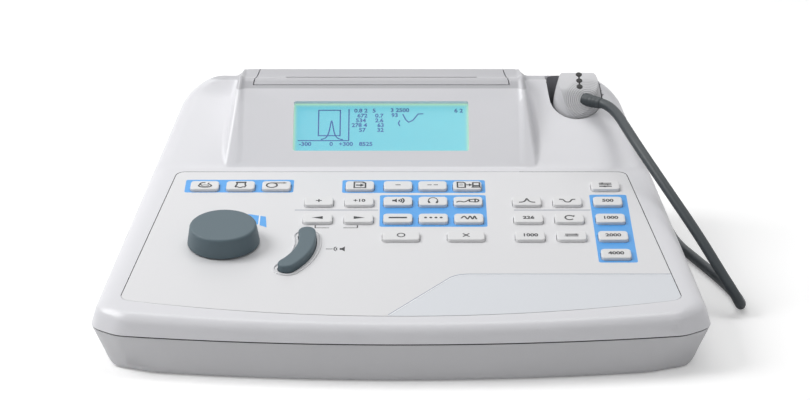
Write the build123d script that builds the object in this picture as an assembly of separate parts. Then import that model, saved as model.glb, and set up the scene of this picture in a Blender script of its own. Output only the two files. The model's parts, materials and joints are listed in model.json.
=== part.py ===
from build123d import *

import os
from math import cos, pi, radians, sin, sqrt, tan

# A desktop screening tympanometer: a wedge-shaped plastic case with a raised display
# and printer block, thirty keys, a level knob, a curved tone bar and a probe that
# stands in a cradle in the right shoulder.
# Millimetres. X points to the right, Y to the back, Z up. The origin is on the table,
# under the middle of the case.

# The case seen from above
case_width = 370.0
case_depth = 296.0
case_rear_width = 340.0
front_bow = 16.0
front_corner_radius = 22.0
rear_corner_radius = 26.0

# The case seen from the side
foot_clearance = 2.5
seam_height = 25.5
case_ceiling = 116.0
wall = 3.0
rim_radius = 9.5
panel_setback = 15.0
panel_front_height = 36.0
panel_angle = 7.6
panel_length = 195.0
shoulder_angle = 26.5
shoulder_blend_radius = 26.0
side_lean_angle = 20.0
front_lean_angle = 14.0
rear_lean_angle = 4.0
lower_draft = 10.0
lower_edge_radius = 7.0
seam_groove = 0.8
lip_height = 2.0
lip_thickness = 1.4
lip_gap = 0.15
lip_root = 3.0

# The display and printer block
block_centre_x = -13.8
block_half_width = 99.6
block_flare_angle = 6.0
block_front_taper_share = 0.06
block_rear_taper_share = 0.16
face_angle = 39.5
face_length = 62.7
band_length = 15.0
band_rise = 4.2
crest_height = 106.9
block_rear_setback = 4.0
crease_radius = 6.0
band_blend_radius = 30.0
crest_radius = 9.0
block_edge_radius = 4.0
block_foot_radius = 6.0

# The window in the display face
window_width = 118.6
window_height = 39.6
window_place = 33.8
window_corner = 1.5
lens_margin = 3.4
lens_thickness = 1.6
module_margin_x = 5.0
module_margin_y = 4.0
module_frame_depth = 3.6
module_board_thickness = 1.6
module_lip = 1.2
glass_depth = 1.8

# The key panel
fascia_thickness = 1.0
fascia_gap = 0.5
fascia_back_place = 190.0
fascia_back_half_width = 149.3
fascia_front_half_width = 170.2
fascia_corner_place = 20.0
fascia_corner_radius = 6.0

# The keys
key_width = 18.8
wide_key_width = 23.7
key_depth = 11.5
key_corner = 2.6
key_stand = 2.5
key_gap = 0.35
key_edge = 0.6
key_flange = 1.4
key_flange_thickness = 1.0
key_travel = 1.2
key_post_width = 3.0
key_post_depth = 7.0
left_block_x = -129.5
left_block_pitch = 23.6
arrow_keys_x = -53.6
wide_pitch = 26.3
middle_block_x = -2.2
middle_block_pitch = 22.8
right_block_x = 81.7
ear_key_x = -0.1
ear_key_pitch = 41.2
top_row_place = 167.1
second_row_place = 144.8
row_pitch = 23.55

# The boards and switches under the panel
board_thickness = 1.6
key_board_depth = 9.0
switch_size = 7.0
switch_height = 3.4
switch_floor = 0.3
post_clearance = 0.1
key_board_half_width = 148.0
key_board_front = 34.0
key_board_back = 184.0
board_post_shares = (
    (-0.95, 0.07), (-0.2, 0.1), (0.43, 0.07), (0.95, 0.07), (-0.965, 0.975), (0.43, 0.97), (0.965, 0.975)
)
board_post_radius = 2.6
stake_radius = 1.2
stake_clearance = 0.1
stake_end = 0.8

# The level knob
knob_x = -112.0
knob_place = 91.0
knob_radius = 22.8
knob_top_radius = 21.2
knob_height = 12.5
knob_lift = 0.8
knob_edge_radius = 1.8
knob_skirt = 2.6
knob_roof = 3.0
knob_hub_radius = 5.5
shaft_radius = 3.0
shaft_flat = 0.8
shaft_clearance = 0.03
shaft_length = 18.0
bush_radius = 4.5
bush_stand = 1.5
encoder_size = 14.0
encoder_top_gap = 0.2
bush_clearance = 0.3

# The tone bar beside the knob
bar_path_radius = 53.0
bar_width = 11.0
bar_start_angle = -39.0
bar_sweep_angle = 48.0
bar_stand = 5.0
bar_edge = 1.4
bar_travel = 1.4
bar_flange = 1.2
bar_gap = 0.4
bar_rim_offset = 2.4
bar_rim_width = 0.8
bar_rim_height = 0.7

# The printer bay and its cover
cover_thickness = 1.6
cover_gap = 0.7
cover_front_half_width = 87.0
cover_front_setback = 3.8
cover_hinge_height = 60.0
barrel_radius = 3.5
barrel_inset = 0.3
hinge_pin_radius = 1.8
hinge_pin_length = 3.0
pin_clearance = 0.05
hinge_swing_gap = 0.6
ear_thickness = 5.0
ear_height = 11.0
ear_depth = 9.0
bay_rest_gap = 0.3
slot_length = 131.0
slot_width = 1.6
slot_setback = 13.2
bay_half_width = 75.0
bay_wall = 2.0
bay_front_height = 70.0
roll_radius = 17.5
roll_length = 112.0
roll_core_radius = 6.0
trough_radius = 19.0
trough_centre_y = 119.5
trough_centre_z = 53.0
roll_rest_gap = 0.2
guide_gap = 1.0
guide_thickness = 1.6
guide_height = 12.0
printer_front_y = 115.0
printer_base_height = 84.0
printer_beam_height = 7.5
printer_depth = 9.6
printer_end_gap = 0.3
printer_cheek = 2.0
bracket_length = 6.0
platen_radius = 4.5
platen_height = 97.2
platen_head_gap = 0.3
platen_pin_radius = 1.6
platen_end_gap = 0.4
head_thickness = 0.9

# The probe and its cradle
probe_x = 119.8
probe_y = 118.0
probe_yaw = 8.0
probe_radius = 16.9
cradle_clearance = 1.3
cradle_reach = 18.2
cradle_wall = 2.2
cradle_floor_height = 42.0
cradle_floor_thickness = 2.5
cradle_corner = 5.0
cradle_lip_radius = 1.2
seat_radius = 12.0
seat_gap = 0.1
probe_waist_height = 88.0
probe_shoulder_radius = 15.4
probe_shoulder_height = 101.0
probe_top_radius = 12.6
probe_top_height = 112.5
probe_chord = 8.7
probe_chord_height = 101.5
facet_angle = 29.0
facet_length = 17.8
probe_back_radius = 5.0
probe_back_drop = 5.0
probe_front_radius = 12.0
probe_front_drop = 16.0
probe_neck_radius = 7.0
probe_neck_height = 28.0
nose_length = 15.0
nose_tip_radius = 2.6
nose_collar_radius = 6.2
nose_collar_height = 3.0
nose_waist_radius = 3.6
nose_channel_radius = 0.9
lamp_radius = 2.2
lamp_pitch = 6.0
lamp_depth = 0.8
lamp_link_width = 1.0

# The cable of the probe
cable_diameter = 6.8
boot_radius = 4.6
boot_length = 14.0
boot_root = 3.0
boot_end_margin = 0.4
boot_heading_shares = (0.70, -0.71, 0.0)
boot_exit_side = 3.4
boot_exit_height = 95.0
boot_exit_front = 13.0
cable_lead = 9.0
coil_turns_inward = 2.0
coil_turns_outward = 2.5
climb_turns = 0.25
small_turn = 0.0001
coil_samples = 72
coil_run_in = 36.0
plug_run_in = 28.0
arc_share = 0.45
coil_inner_radius = 33.5
coil_turn_step = 7.6
coil_layer_step = 7.5
coil_centre_x = 20.0
coil_centre_y = 214.0
cable_rest_height = 3.5
cable_run_points = [
    (153.5, 50.0, 86.0), (170.5, 14.0, 67.5), (190.5, -17.0, 44.0), (205.0, -37.0, 23.5),
    (211.8, -46.0, 14.5), (216.5, -43.5, 5.2), (217.5, -30.0, 3.5), (213.0, -4.0, 3.5),
    (198.0, 41.5, 3.5), (187.0, 74.0, 3.5), (184.0, 112.0, 3.5), (170.0, 148.0, 3.5),
    (140.0, 167.0, 3.5), (103.0, 171.0, 3.5),
]
cable_tail_points = [(84.0, 255.0, 17.0), (90.0, 229.0, 27.5)]
plug_radius = 5.6
plug_length = 24.0
plug_nose_radius = 4.0
plug_nose_length = 8.0
plug_clearance = 0.05
socket_radius = 5.3
socket_length = 14.0
socket_flange_radius = 8.5
socket_flange_thickness = 1.4

# The sockets in the back and what stands on the main board
probe_socket_x = 90.0
jack_x = -135.0
jack_pitch = 18.0
jack_count = 3
jack_bore_radius = 3.25
jack_bush_radius = 5.0
jack_body_size = 11.0
jack_body_length = 20.0
jack_bore_length = 16.0
jack_nose = 1.0
inlet_x = 72.0
inlet_width = 14.0
inlet_height = 11.0
inlet_length = 16.0
inlet_bore_radius = 2.75
inlet_bore_length = 9.0
inlet_pin_radius = 0.9
inlet_nose_radius = 4.2
panel_fit = 0.2
pad_margin = 2.0
main_board_height = 29.0
main_board_front = 66.0
main_board_back_gap = 4.0
main_board_left = -143.0
main_board_right = 94.0
board_chip_height = 2.0
main_post_shares = ((0.03, 0.08), (0.5, 0.08), (0.97, 0.08), (0.2, 0.6), (0.97, 0.7))
chip_shares = ((0.3, 0.16, 0.2), (0.62, 0.16, 0.24), (0.1, 0.5, 0.16))

# The pump that makes the air pressure
pump_x = -120.0
pump_y = 20.0
pump_radius = 13.0
pump_length = 34.0
motor_radius = 11.5
motor_length = 30.0
pump_nozzle_radius = 2.0
pump_nozzle_length = 8.0
pump_saddle_width = 18.0
pump_saddle_gap = 2.0

# Screws, bosses and feet
boss_radius = 4.5
screw_radius = 1.5
screw_length = 14.0
screw_shelf_depth = 6.0
screw_end_gap = 1.0
screw_front_x = 152.0
screw_front_y = -104.0
screw_middle_x = 148.0
screw_middle_y = 62.0
screw_rear_x = 150.0
screw_rear_y = 124.0
screw_head_radius = 3.0
screw_head_height = 2.2
screw_clearance = 0.05
screw_channel_clearance = 0.3
foot_radius = 9.0
foot_recess = 1.0
foot_inset_x = 30.0
foot_inset_y = 34.0
standoff_radius = 3.5

# One overrun serves every cut, and one share of a normal tells a top from a wall
overrun = 1.0
slope_share = 0.5

front_y = -case_depth / 2
rear_y = case_depth / 2
panel_front_y = front_y + panel_setback


def offset_point(point, angle, length):
    """Return the point that lies a length away along a slope in the side view."""
    return (point[0] + length * cos(radians(angle)), point[1] + length * sin(radians(angle)))


def lowered(point, angle, inset):
    """Move a point of a sloping line square to the line, into the material."""
    return offset_point(point, angle - 90, inset)


def crossing(first, first_angle, second, second_angle):
    """Return where two sloping lines of the side view cross."""
    ax, ay = cos(radians(first_angle)), sin(radians(first_angle))
    bx, by = cos(radians(second_angle)), sin(radians(second_angle))
    dx, dy = second[0] - first[0], second[1] - first[1]
    along = (dx * by - dy * bx) / (ax * by - ay * bx)
    return (first[0] + along * ax, first[1] + along * ay)


# Corners of the side view: front of the panel, its back end, the crease and the crest
panel_front = (panel_front_y, panel_front_height)
panel_end = offset_point(panel_front, panel_angle, panel_length)
crease = offset_point(panel_end, face_angle, face_length)
band_end = (crease[0] + band_length, crease[1] + band_rise)
block_rear_y = rear_y - block_rear_setback - (crest_height - seam_height) * tan(radians(rear_lean_angle)) / 4

key_plane = Plane(
    origin=(0, panel_front[0], panel_front[1]),
    x_dir=(1, 0, 0),
    z_dir=(0, -sin(radians(panel_angle)), cos(radians(panel_angle))),
)
face_plane = Plane(
    origin=(0, panel_end[0], panel_end[1]),
    x_dir=(1, 0, 0),
    z_dir=(0, -sin(radians(face_angle)), cos(radians(face_angle))),
)


def plan_outline(inset, side_step=0, front_step=0, rear_step=0):
    """Draw the case from above, drawn in by an inset and by a step on each side."""
    front_half = case_width / 2 - inset - side_step
    rear_half = case_rear_width / 2 - inset - side_step
    front = front_y + inset + front_step
    rear = rear_y - inset - rear_step
    edges = [
        ThreePointArc((-front_half, front + front_bow), (0, front), (front_half, front + front_bow)),
        Line((front_half, front + front_bow), (rear_half, rear)),
        Line((rear_half, rear), (-rear_half, rear)),
        Line((-rear_half, rear), (-front_half, front + front_bow)),
    ]
    outline = make_face(edges)
    corners = outline.vertices().group_by(Axis.Y)
    outline = fillet(corners[-1], rear_corner_radius - inset)
    corners = outline.vertices().group_by(Axis.Y)
    return fillet(outline.vertices().sort_by(Axis.X)[:1] + outline.vertices().sort_by(Axis.X)[-1:],
                  front_corner_radius - inset)


def side_extrusion(points, half_width):
    """Extrude an outline of the side view to both sides of the middle."""
    outline = make_face(Polyline(*points, close=True))
    return extrude(Plane.YZ * outline, half_width, both=True)


def outer_edges(faces):
    """Find the edges that only one of the given faces has."""
    edges = [edge for face in faces for edge in face.edges()]
    return ShapeList(
        edge for edge in edges if sum(1 for other in edges if other.is_same(edge)) == 1
    )


def main_block(inset):
    """Model the case above the seam without its display block, drawn in by an inset."""
    rise = case_ceiling - seam_height
    low = Pos(0, 0, seam_height) * plan_outline(inset)
    high = Pos(0, 0, case_ceiling) * plan_outline(
        inset,
        rise * tan(radians(side_lean_angle)),
        rise * tan(radians(front_lean_angle)),
        rise * tan(radians(rear_lean_angle)),
    )
    tower = loft([low, high], ruled=True)
    panel_point = lowered(panel_front, panel_angle, inset)
    shoulder_point = lowered(panel_end, shoulder_angle, inset)
    kink = crossing(panel_point, panel_angle, shoulder_point, shoulder_angle)
    front = offset_point(panel_point, panel_angle, -case_depth / 4)
    back = offset_point(kink, shoulder_angle, case_depth / 2)
    outline = make_face(Polyline(
        front, kink, back, (back[0], seam_height), (front[0], seam_height), close=True
    ))
    bend = outline.vertices().sort_by_distance((kink[0], kink[1], 0))[0]
    outline = fillet(bend, shoulder_blend_radius + inset)
    block = tower & extrude(Plane.YZ * outline, case_width, both=True)
    tops = [face for face in block.faces() if face.normal_at().Z > slope_share]
    return fillet(outer_edges(tops), rim_radius - inset)


def block_outline(inset, flare, height):
    """Draw the display block from above at a height, with its converging sides."""
    half = block_half_width - inset + (crease[1] - height) * tan(radians(flare))
    start = panel_end[0] - wall * 4
    front_half = half + (crease[0] - start) * block_front_taper_share
    rear = block_rear_y - inset
    rear_half = half - (rear - crease[0]) * block_rear_taper_share
    points = [(front_half, start), (half, crease[0]), (rear_half, rear)]
    mirrored = [(-x, y) for x, y in reversed(points)]
    outline = make_face(Polyline(*points, *mirrored, close=True))
    waist = outline.vertices().group_by(Axis.Y)[1]
    return Pos(block_centre_x, 0, height) * fillet(waist, case_depth / 4)


def raised_block(inset):
    """Model the raised display and printer block, drawn in by an inset."""
    low_height = seam_height
    tower = loft([
        block_outline(inset, block_flare_angle, low_height),
        block_outline(inset, block_flare_angle, case_ceiling),
    ], ruled=True)
    face_point = lowered(panel_end, face_angle, inset)
    band_angle = degrees_between(crease, band_end)
    band_point = lowered(band_end, band_angle, inset)
    top_point = (band_end[0], band_end[1] - inset)
    foot = offset_point(face_point, face_angle, -wall * 4)
    inner_crease = crossing(face_point, face_angle, band_point, band_angle)
    inner_band = crossing(band_point, band_angle, top_point, 0)
    rear = (block_rear_y - inset, inner_band[1])
    outline = make_face(Polyline(
        foot, inner_crease, inner_band, rear, (rear[0], low_height), (foot[0], low_height), close=True
    ))
    for point, radius in (
        (inner_crease, crease_radius - inset),
        (inner_band, band_blend_radius - inset),
        (rear, crest_radius - inset),
    ):
        corner = outline.vertices().sort_by_distance((point[0], point[1], 0))[0]
        outline = fillet(corner, radius)
    block = tower & extrude(Plane.YZ * outline, case_width, both=True)
    sides = [face for face in block.faces() if abs(face.normal_at().X) > slope_share]
    edges = outer_edges(sides).filter_by(lambda edge: edge.center().Z > panel_front_height)
    edges = edges.filter_by(lambda edge: edge.center().Y > panel_end[0])
    return fillet(edges, block_edge_radius - inset)


def degrees_between(first, second):
    """Return the slope of the line from one point of the side view to another."""
    return Vector(1, 0).get_signed_angle(Vector(second[0] - first[0], second[1] - first[1]))


def case_solid(inset):
    """Join the main block and the raised block, drawn in by an inset."""
    return main_block(inset) + raised_block(inset)


# The narrowest gap that still counts as touching, and where along an edge it is looked at
touch_gap = 0.01
sample_shares = (0.25, 0.75)


def runs_on(edge, solid):
    """Tell whether an edge lies on the surface of a solid."""
    return all(
        min(face.distance_to(Vertex(edge @ share)) for face in solid.faces()) < touch_gap
        for share in sample_shares
    )


def blended_case():
    """Join the two blocks and round the corner where the raised block stands on the case."""
    low = main_block(0)
    high = raised_block(0)
    foot = [
        edge for edge in (low + high).edges()
        if edge.center().Z > panel_front_height and runs_on(edge, low) and runs_on(edge, high)
    ]
    return fillet(foot, block_foot_radius)


def gather(parts):
    """Keep several separate solids as one group."""
    return Compound([solid for part in parts for solid in part.solids()])


def on_panel(x, place, lift=0):
    """Return a place on the key panel: across, up the slope and above its surface."""
    return key_plane.location * Pos(x, place, lift)


def on_face(lift=0):
    """Return the middle of the window, at a height above the display face."""
    return face_plane.location * Pos(block_centre_x, window_place, lift)


def sunk(sketch, top, bottom):
    """Extrude a flat sketch between two depths under the surface that it is drawn on."""
    return extrude(Pos(0, 0, -bottom) * sketch, bottom - top)


def key_table():
    """List each key with its place across the panel, its place up the slope and its width."""
    left = [left_block_x + left_block_pitch * step for step in range(3)]
    middle = [arrow_keys_x, arrow_keys_x + wide_pitch]
    middle += [middle_block_x + middle_block_pitch * step for step in range(3)]
    right = [right_block_x + wide_pitch * step for step in range(3)]
    ears = [ear_key_x, ear_key_x + ear_key_pitch]
    rows = [
        (left, "erase print paper_feed"),
        (middle[1:], "page memory_clear memory_clear_all data_transfer"),
        (middle, "memory_store level_boost audiometry phones insert"),
        (middle, "left right steady_tone pulsed_tone warble"),
        (ears, "ear_right ear_left"),
        (right[2:], "program"),
        (right, "tympanogram reflex tone_500"),
        (right, "probe_226 ipsilateral tone_1000"),
        (right, "probe_1000 contralateral tone_2000"),
        (right[2:], "tone_4000"),
    ]
    places = [top_row_place] + [second_row_place - row_pitch * step for step in range(4)]
    row_numbers = [0, 0, 1, 2, 3, 0, 1, 2, 3, 4]
    table = {}
    for number, (columns, names) in zip(row_numbers, rows):
        for x, name in zip(columns, names.split()):
            width = wide_key_width if x in ears else key_width
            table["key_" + name] = (x, places[number], width)
    return table


def key_outline(width, growth=0):
    """Draw a key from above."""
    return RectangleRounded(width + 2 * growth, key_depth + 2 * growth, key_corner + growth)


def key(width):
    """Model a key: its cap, the flange that keeps it in and the plunger for its switch."""
    cap = sunk(key_outline(width), -key_stand, wall)
    cap = chamfer(cap.faces().sort_by(Axis.Z)[-1].edges(), key_edge)
    flange = Rectangle(width + 2 * key_flange, key_depth + 2 * key_flange)
    post = Rectangle(key_post_width, key_post_width)
    flange_end = wall + key_flange_thickness
    return cap + sunk(flange, wall, flange_end) + sunk(post, flange_end, key_post_depth)


def bar_outline(growth=0):
    """Draw the tone bar from above, as part of a ring round the knob."""
    path = CenterArc((knob_x, knob_place), bar_path_radius, bar_start_angle, bar_sweep_angle)
    return SlotArc(path, bar_width + 2 * growth)


def bar_middle():
    """Return the middle of the tone bar on the panel."""
    angle = radians(bar_start_angle + bar_sweep_angle / 2)
    return (knob_x + bar_path_radius * cos(angle), knob_place + bar_path_radius * sin(angle))


def present_bar():
    """Model the curved tone bar with its flange and plunger."""
    cap = sunk(bar_outline(), -bar_stand, wall)
    cap = chamfer(cap.faces().sort_by(Axis.Z)[-1].edges(), bar_edge)
    flange_end = wall + key_flange_thickness
    post = Pos(*bar_middle()) * Rectangle(key_post_width, key_post_width)
    bar = cap + sunk(bar_outline(bar_flange), wall, flange_end)
    return key_plane.location * (bar + sunk(post, flange_end, key_post_depth))


def key_switches():
    """Model one switch housing under each plunger."""
    housing = sunk(Rectangle(switch_size, switch_size), key_board_depth - switch_height, key_board_depth)
    room = key_post_width + 2 * post_clearance
    housing -= sunk(Rectangle(room, room), 0, key_board_depth - switch_floor)
    places = [(x, place) for x, place, width in key_table().values()] + [bar_middle()]
    return gather([on_panel(x, place) * housing for x, place in places])


def board_posts():
    """List where the posts of the key board stand on the panel."""
    length = key_board_back - key_board_front
    return [
        (across * key_board_half_width, key_board_front + along * length)
        for across, along in board_post_shares
    ]


def key_board():
    """Model the printed board under the keys with its holes for the posts."""
    middle = (key_board_front + key_board_back) / 2
    board = Pos(0, middle) * Rectangle(2 * key_board_half_width, key_board_back - key_board_front)
    for x, place in board_posts():
        board -= Pos(x, place) * Circle(stake_radius + stake_clearance)
    return key_plane.location * sunk(board, key_board_depth, key_board_depth + board_thickness)


def fascia_outline(growth=0):
    """Draw the sheet over the key panel, with its bowed front edge."""
    front_half = fascia_front_half_width + growth
    back_half = fascia_back_half_width + growth
    back = fascia_back_place + growth
    outline = make_face([
        Line((-back_half, back), (back_half, back)),
        Line((back_half, back), (front_half, fascia_corner_place)),
        ThreePointArc((front_half, fascia_corner_place), (0, -growth), (-front_half, fascia_corner_place)),
        Line((-front_half, fascia_corner_place), (-back_half, back)),
    ])
    return fillet(outline.vertices(), fascia_corner_radius + growth)


def panel_openings(top, bottom):
    """Cut the openings of the keys, the tone bar and the knob's bush between two depths."""
    cuts = [
        Pos(x, place) * sunk(key_outline(width, key_gap), top, bottom)
        for x, place, width in key_table().values()
    ]
    cuts.append(sunk(bar_outline(bar_gap), top, bottom))
    cuts.append(Pos(knob_x, knob_place) * sunk(Circle(bush_radius + bush_clearance), top, bottom))
    return cuts


def keypad_overlay():
    """Model the sheet over the key panel with the fine raised rim round the tone bar."""
    sheet = sunk(fascia_outline(), 0, fascia_thickness)
    rim = bar_outline(bar_rim_offset + bar_rim_width) - bar_outline(bar_rim_offset)
    sheet += sunk(rim, -bar_rim_height, fascia_thickness)
    return key_plane.location * (sheet - panel_openings(-bar_rim_height - overrun, fascia_thickness + overrun))


def attenuator_knob():
    """Model the knob: a hollow skirt with a hub that grips the flatted shaft."""
    top = knob_lift + knob_height
    profile = make_face(Polyline(
        (0, knob_lift), (knob_radius, knob_lift), (knob_top_radius, top), (0, top), close=True
    ))
    shoulder = profile.vertices().sort_by_distance((knob_top_radius, top, 0))[0]
    body = revolve(Plane.XZ * fillet(shoulder, knob_edge_radius), Axis.Z)
    roof = top - knob_roof
    hollow = Circle(knob_top_radius - knob_skirt) - Circle(knob_hub_radius)
    body -= sunk(hollow, -roof, 0)
    body -= sunk(Circle(knob_hub_radius + overrun), -(bush_stand + knob_lift), 0)
    bore = shaft_outline(shaft_clearance)
    body -= sunk(bore, -(shaft_length - key_board_depth + switch_floor + shaft_clearance), 0)
    return on_panel(knob_x, knob_place) * body


def shaft_outline(growth=0):
    """Draw the round shaft with its flat."""
    size = shaft_radius + growth
    flat = Pos(0, 2 * shaft_radius - shaft_flat + growth) * Rectangle(2 * size, 2 * shaft_radius)
    return Circle(size) - flat


def knob_shaft():
    """Model the encoder's shaft."""
    end = key_board_depth - switch_floor
    return on_panel(knob_x, knob_place) * sunk(shaft_outline(), end - shaft_length, end)


def knob_encoder():
    """Model the encoder: its housing on the board and the bush that holds the shaft."""
    body = sunk(Rectangle(encoder_size, encoder_size), wall + encoder_top_gap, key_board_depth)
    body += sunk(Circle(bush_radius), -bush_stand, key_board_depth)
    body -= sunk(Circle(shaft_radius + shaft_clearance), -bush_stand - overrun, key_board_depth - switch_floor)
    return on_panel(knob_x, knob_place) * body


def display_window():
    """Model the clear window that lies behind the opening of the display face."""
    width = window_width + 2 * lens_margin
    height = window_height + 2 * lens_margin
    return on_face() * sunk(RectangleRounded(width, height, window_corner), wall, wall + lens_thickness)


def lcd_module():
    """Model the display: its frame, the glass in it and the board behind."""
    width = window_width + 2 * module_margin_x
    height = window_height + 2 * module_margin_y
    top = wall + lens_thickness
    back = top + module_frame_depth
    view = Rectangle(window_width - 2 * module_lip, window_height - 2 * module_lip)
    frame = sunk(Rectangle(width, height) - view, top, back)
    glass = sunk(view, back - glass_depth, back)
    board = sunk(Rectangle(width, height), back, back + module_board_thickness)
    return gather([on_face() * piece for piece in (frame, glass, board)])


def rear_surface(height):
    """Return where the back of the case is at a height."""
    return rear_y - (height - seam_height) * tan(radians(rear_lean_angle))


hinge_y = rear_surface(cover_hinge_height) - barrel_radius - barrel_inset


def cover_half_width(y, growth=0):
    """Return half the width of the printer cover at a place from front to back."""
    front = crease[0] + cover_front_setback
    return cover_front_half_width + growth - (y - front) * block_rear_taper_share


def cover_prism(growth, low):
    """Model the upright prism that cuts the cover, or its opening, out of the case."""
    front = crease[0] + cover_front_setback - growth
    rear = rear_y + overrun
    front_half = cover_half_width(front, growth)
    rear_half = cover_half_width(rear, growth)
    outline = make_face(Polyline(
        (-front_half, front), (front_half, front), (rear_half, rear), (-rear_half, rear), close=True
    ))
    return Pos(block_centre_x, 0, low) * extrude(outline, case_ceiling - low)


def across(sketch, half_width, place=0):
    """Extrude a sketch of the side view to both sides of a place across the block."""
    return Pos(block_centre_x + place, 0, 0) * extrude(Plane.YZ * sketch, half_width, both=True)


def printer_cover(outer):
    """Model the lid over the printer with its paper slot, hinge barrel and pins."""
    lid = (outer - case_solid(cover_thickness)) & cover_prism(0, cover_hinge_height)
    slot_y = crease[0] + slot_setback
    slot = Pos(slot_y, case_ceiling) * Rectangle(slot_width, 2 * (case_ceiling - platen_height))
    lid -= across(slot, slot_length / 2)
    hinge = Pos(hinge_y, cover_hinge_height)
    barrel_half = cover_half_width(hinge_y)
    lid += across(hinge * Circle(barrel_radius), barrel_half)
    return lid + across(hinge * Circle(hinge_pin_radius), barrel_half + cover_gap + hinge_pin_length)


def hinge_ears():
    """Model the two ears inside the back wall that carry the cover's pins."""
    outer_half = cover_half_width(hinge_y) + cover_gap + ear_thickness
    middle = outer_half - ear_thickness
    block = Pos(hinge_y, cover_hinge_height) * Rectangle(ear_depth, ear_height)
    return [across(block, ear_thickness, side * middle) for side in (-1, 1)]


def paper_bay(room):
    """Model the paper trough, its end walls, the guide ribs and the printer's brackets."""
    centre = Pos(trough_centre_y, trough_centre_z)
    outer_radius = trough_radius + bay_wall
    span = 2 * outer_radius
    below = Pos(0, -span / 2) * Rectangle(span, span)
    end_half = bay_half_width + bay_wall
    shell = centre * ((Circle(outer_radius) - Circle(trough_radius)) & below)
    front_rise = bay_front_height - trough_centre_z
    front_wall = centre * Pos(-outer_radius + bay_wall / 2, front_rise / 2) * Rectangle(bay_wall, front_rise)
    ledge_length = rear_surface(trough_centre_z) - wall / 2 - trough_centre_y - trough_radius
    ledge = centre * Pos(trough_radius + ledge_length / 2, -bay_wall / 2) * Rectangle(ledge_length, bay_wall)
    bay = across(shell, end_half) + across(front_wall, end_half) + across(ledge, end_half)
    wall_back = hinge_y - barrel_radius - barrel_inset
    wall_front = trough_centre_y - outer_radius
    end_height = case_ceiling - trough_centre_z
    end_plate = centre * (Circle(outer_radius) & below)
    end_plate += Pos((wall_front + wall_back) / 2, trough_centre_z + end_height / 2) * Rectangle(
        wall_back - wall_front, end_height
    )
    guide_low = trough_centre_z - outer_radius + bay_wall / 2
    guide = (centre * Circle(trough_radius + bay_wall / 2)) & (
        Pos(trough_centre_y, guide_low + guide_height / 2) * Rectangle(span, guide_height)
    )
    bracket = Pos(printer_front_y + printer_depth / 2, printer_base_height - bay_wall / 2) * Rectangle(
        printer_depth, bay_wall
    )
    for side in (-1, 1):
        bay += across(end_plate, bay_wall / 2, side * (bay_half_width + bay_wall / 2)) & room
        guide_place = roll_length / 2 + guide_gap + guide_thickness / 2
        bay += across(guide, guide_thickness / 2, side * guide_place)
        bay += across(bracket, bracket_length / 2, side * (bay_half_width - bracket_length / 2))
    return bay


def paper_roll():
    """Model the roll of paper on its core, resting in the trough."""
    height = trough_centre_z - trough_radius + roll_radius + roll_rest_gap
    ring = Pos(trough_centre_y, height) * (Circle(roll_radius) - Circle(roll_core_radius))
    return across(ring, roll_length / 2)


platen_y = printer_front_y + head_thickness + platen_head_gap + platen_radius


def printer_mechanism():
    """Model the printer's beam with its thermal head and the two cheeks of the roller."""
    half = bay_half_width - printer_end_gap
    top = printer_base_height + printer_beam_height
    middle = printer_front_y + printer_depth / 2
    beam = Pos(middle, printer_base_height + printer_beam_height / 2) * Rectangle(
        printer_depth, printer_beam_height
    )
    frame = across(beam, half)
    head_rise = platen_height - top
    head = Pos(printer_front_y + head_thickness / 2, top + head_rise / 2) * Rectangle(head_thickness, head_rise)
    frame += across(head, half - printer_cheek)
    cheek_rise = platen_height - top + 2 * platen_pin_radius
    cheek = Pos(middle, top + cheek_rise / 2) * Rectangle(printer_depth, cheek_rise)
    cheek -= Pos(platen_y, platen_height) * Circle(platen_pin_radius + pin_clearance)
    for side in (-1, 1):
        frame += across(cheek, printer_cheek / 2, side * (half - printer_cheek / 2))
    return frame


def platen_roller():
    """Model the rubber roller that draws the paper, with its pins."""
    axis = Pos(platen_y, platen_height)
    half = bay_half_width - printer_end_gap
    roller = across(axis * Circle(platen_radius), half - printer_cheek - platen_end_gap)
    return roller + across(axis * Circle(platen_pin_radius), half)


probe_place = Pos(probe_x, probe_y, 0) * Rot(0, 0, probe_yaw)
seat_slope = (seat_radius - probe_neck_radius) / (cradle_floor_height - probe_neck_height)


def cradle_outline(growth=0):
    """Draw the cradle's well from above: round in front, closed straight at the back."""
    radius = probe_radius + cradle_clearance + growth
    back = cradle_reach + growth
    outline = make_face([
        ThreePointArc((-radius, 0), (0, -radius), (radius, 0)),
        Line((radius, 0), (radius, back)),
        Line((radius, back), (-radius, back)),
        Line((-radius, back), (-radius, 0)),
    ])
    return fillet(outline.vertices().group_by(Axis.Y)[-1], cradle_corner + growth)


def cradle_body():
    """Model the walls and floor of the cradle as a block that the well is cut from."""
    low = cradle_floor_height - cradle_floor_thickness
    block = Pos(0, 0, low) * extrude(cradle_outline(cradle_wall), case_ceiling - low)
    return probe_place * block


def cradle_well():
    """Model the space of the cradle and the conical seat in its floor."""
    well = Pos(0, 0, cradle_floor_height) * extrude(cradle_outline(), case_ceiling - cradle_floor_height)
    low = cradle_floor_height - cradle_floor_thickness - overrun
    high = cradle_floor_height + overrun
    profile = make_face(Polyline(
        (0, low),
        (seat_radius + seat_gap + (low - cradle_floor_height) * seat_slope, low),
        (seat_radius + seat_gap + (high - cradle_floor_height) * seat_slope, high),
        (0, high),
        close=True,
    ))
    return probe_place * (well + revolve(Plane.XZ * profile, Axis.Z))


def facet_middle():
    """Return the middle of the probe's slanting top facet in the side view."""
    return offset_point((-probe_chord, probe_chord_height), facet_angle, facet_length / 2)


def lamp_outline():
    """Draw the three lamps of the probe and the thin bridge that joins them."""
    lamps = Rectangle(2 * lamp_pitch, lamp_link_width)
    for step in (-1, 0, 1):
        lamps += Pos(step * lamp_pitch, 0) * Circle(lamp_radius)
    return lamps


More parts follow.
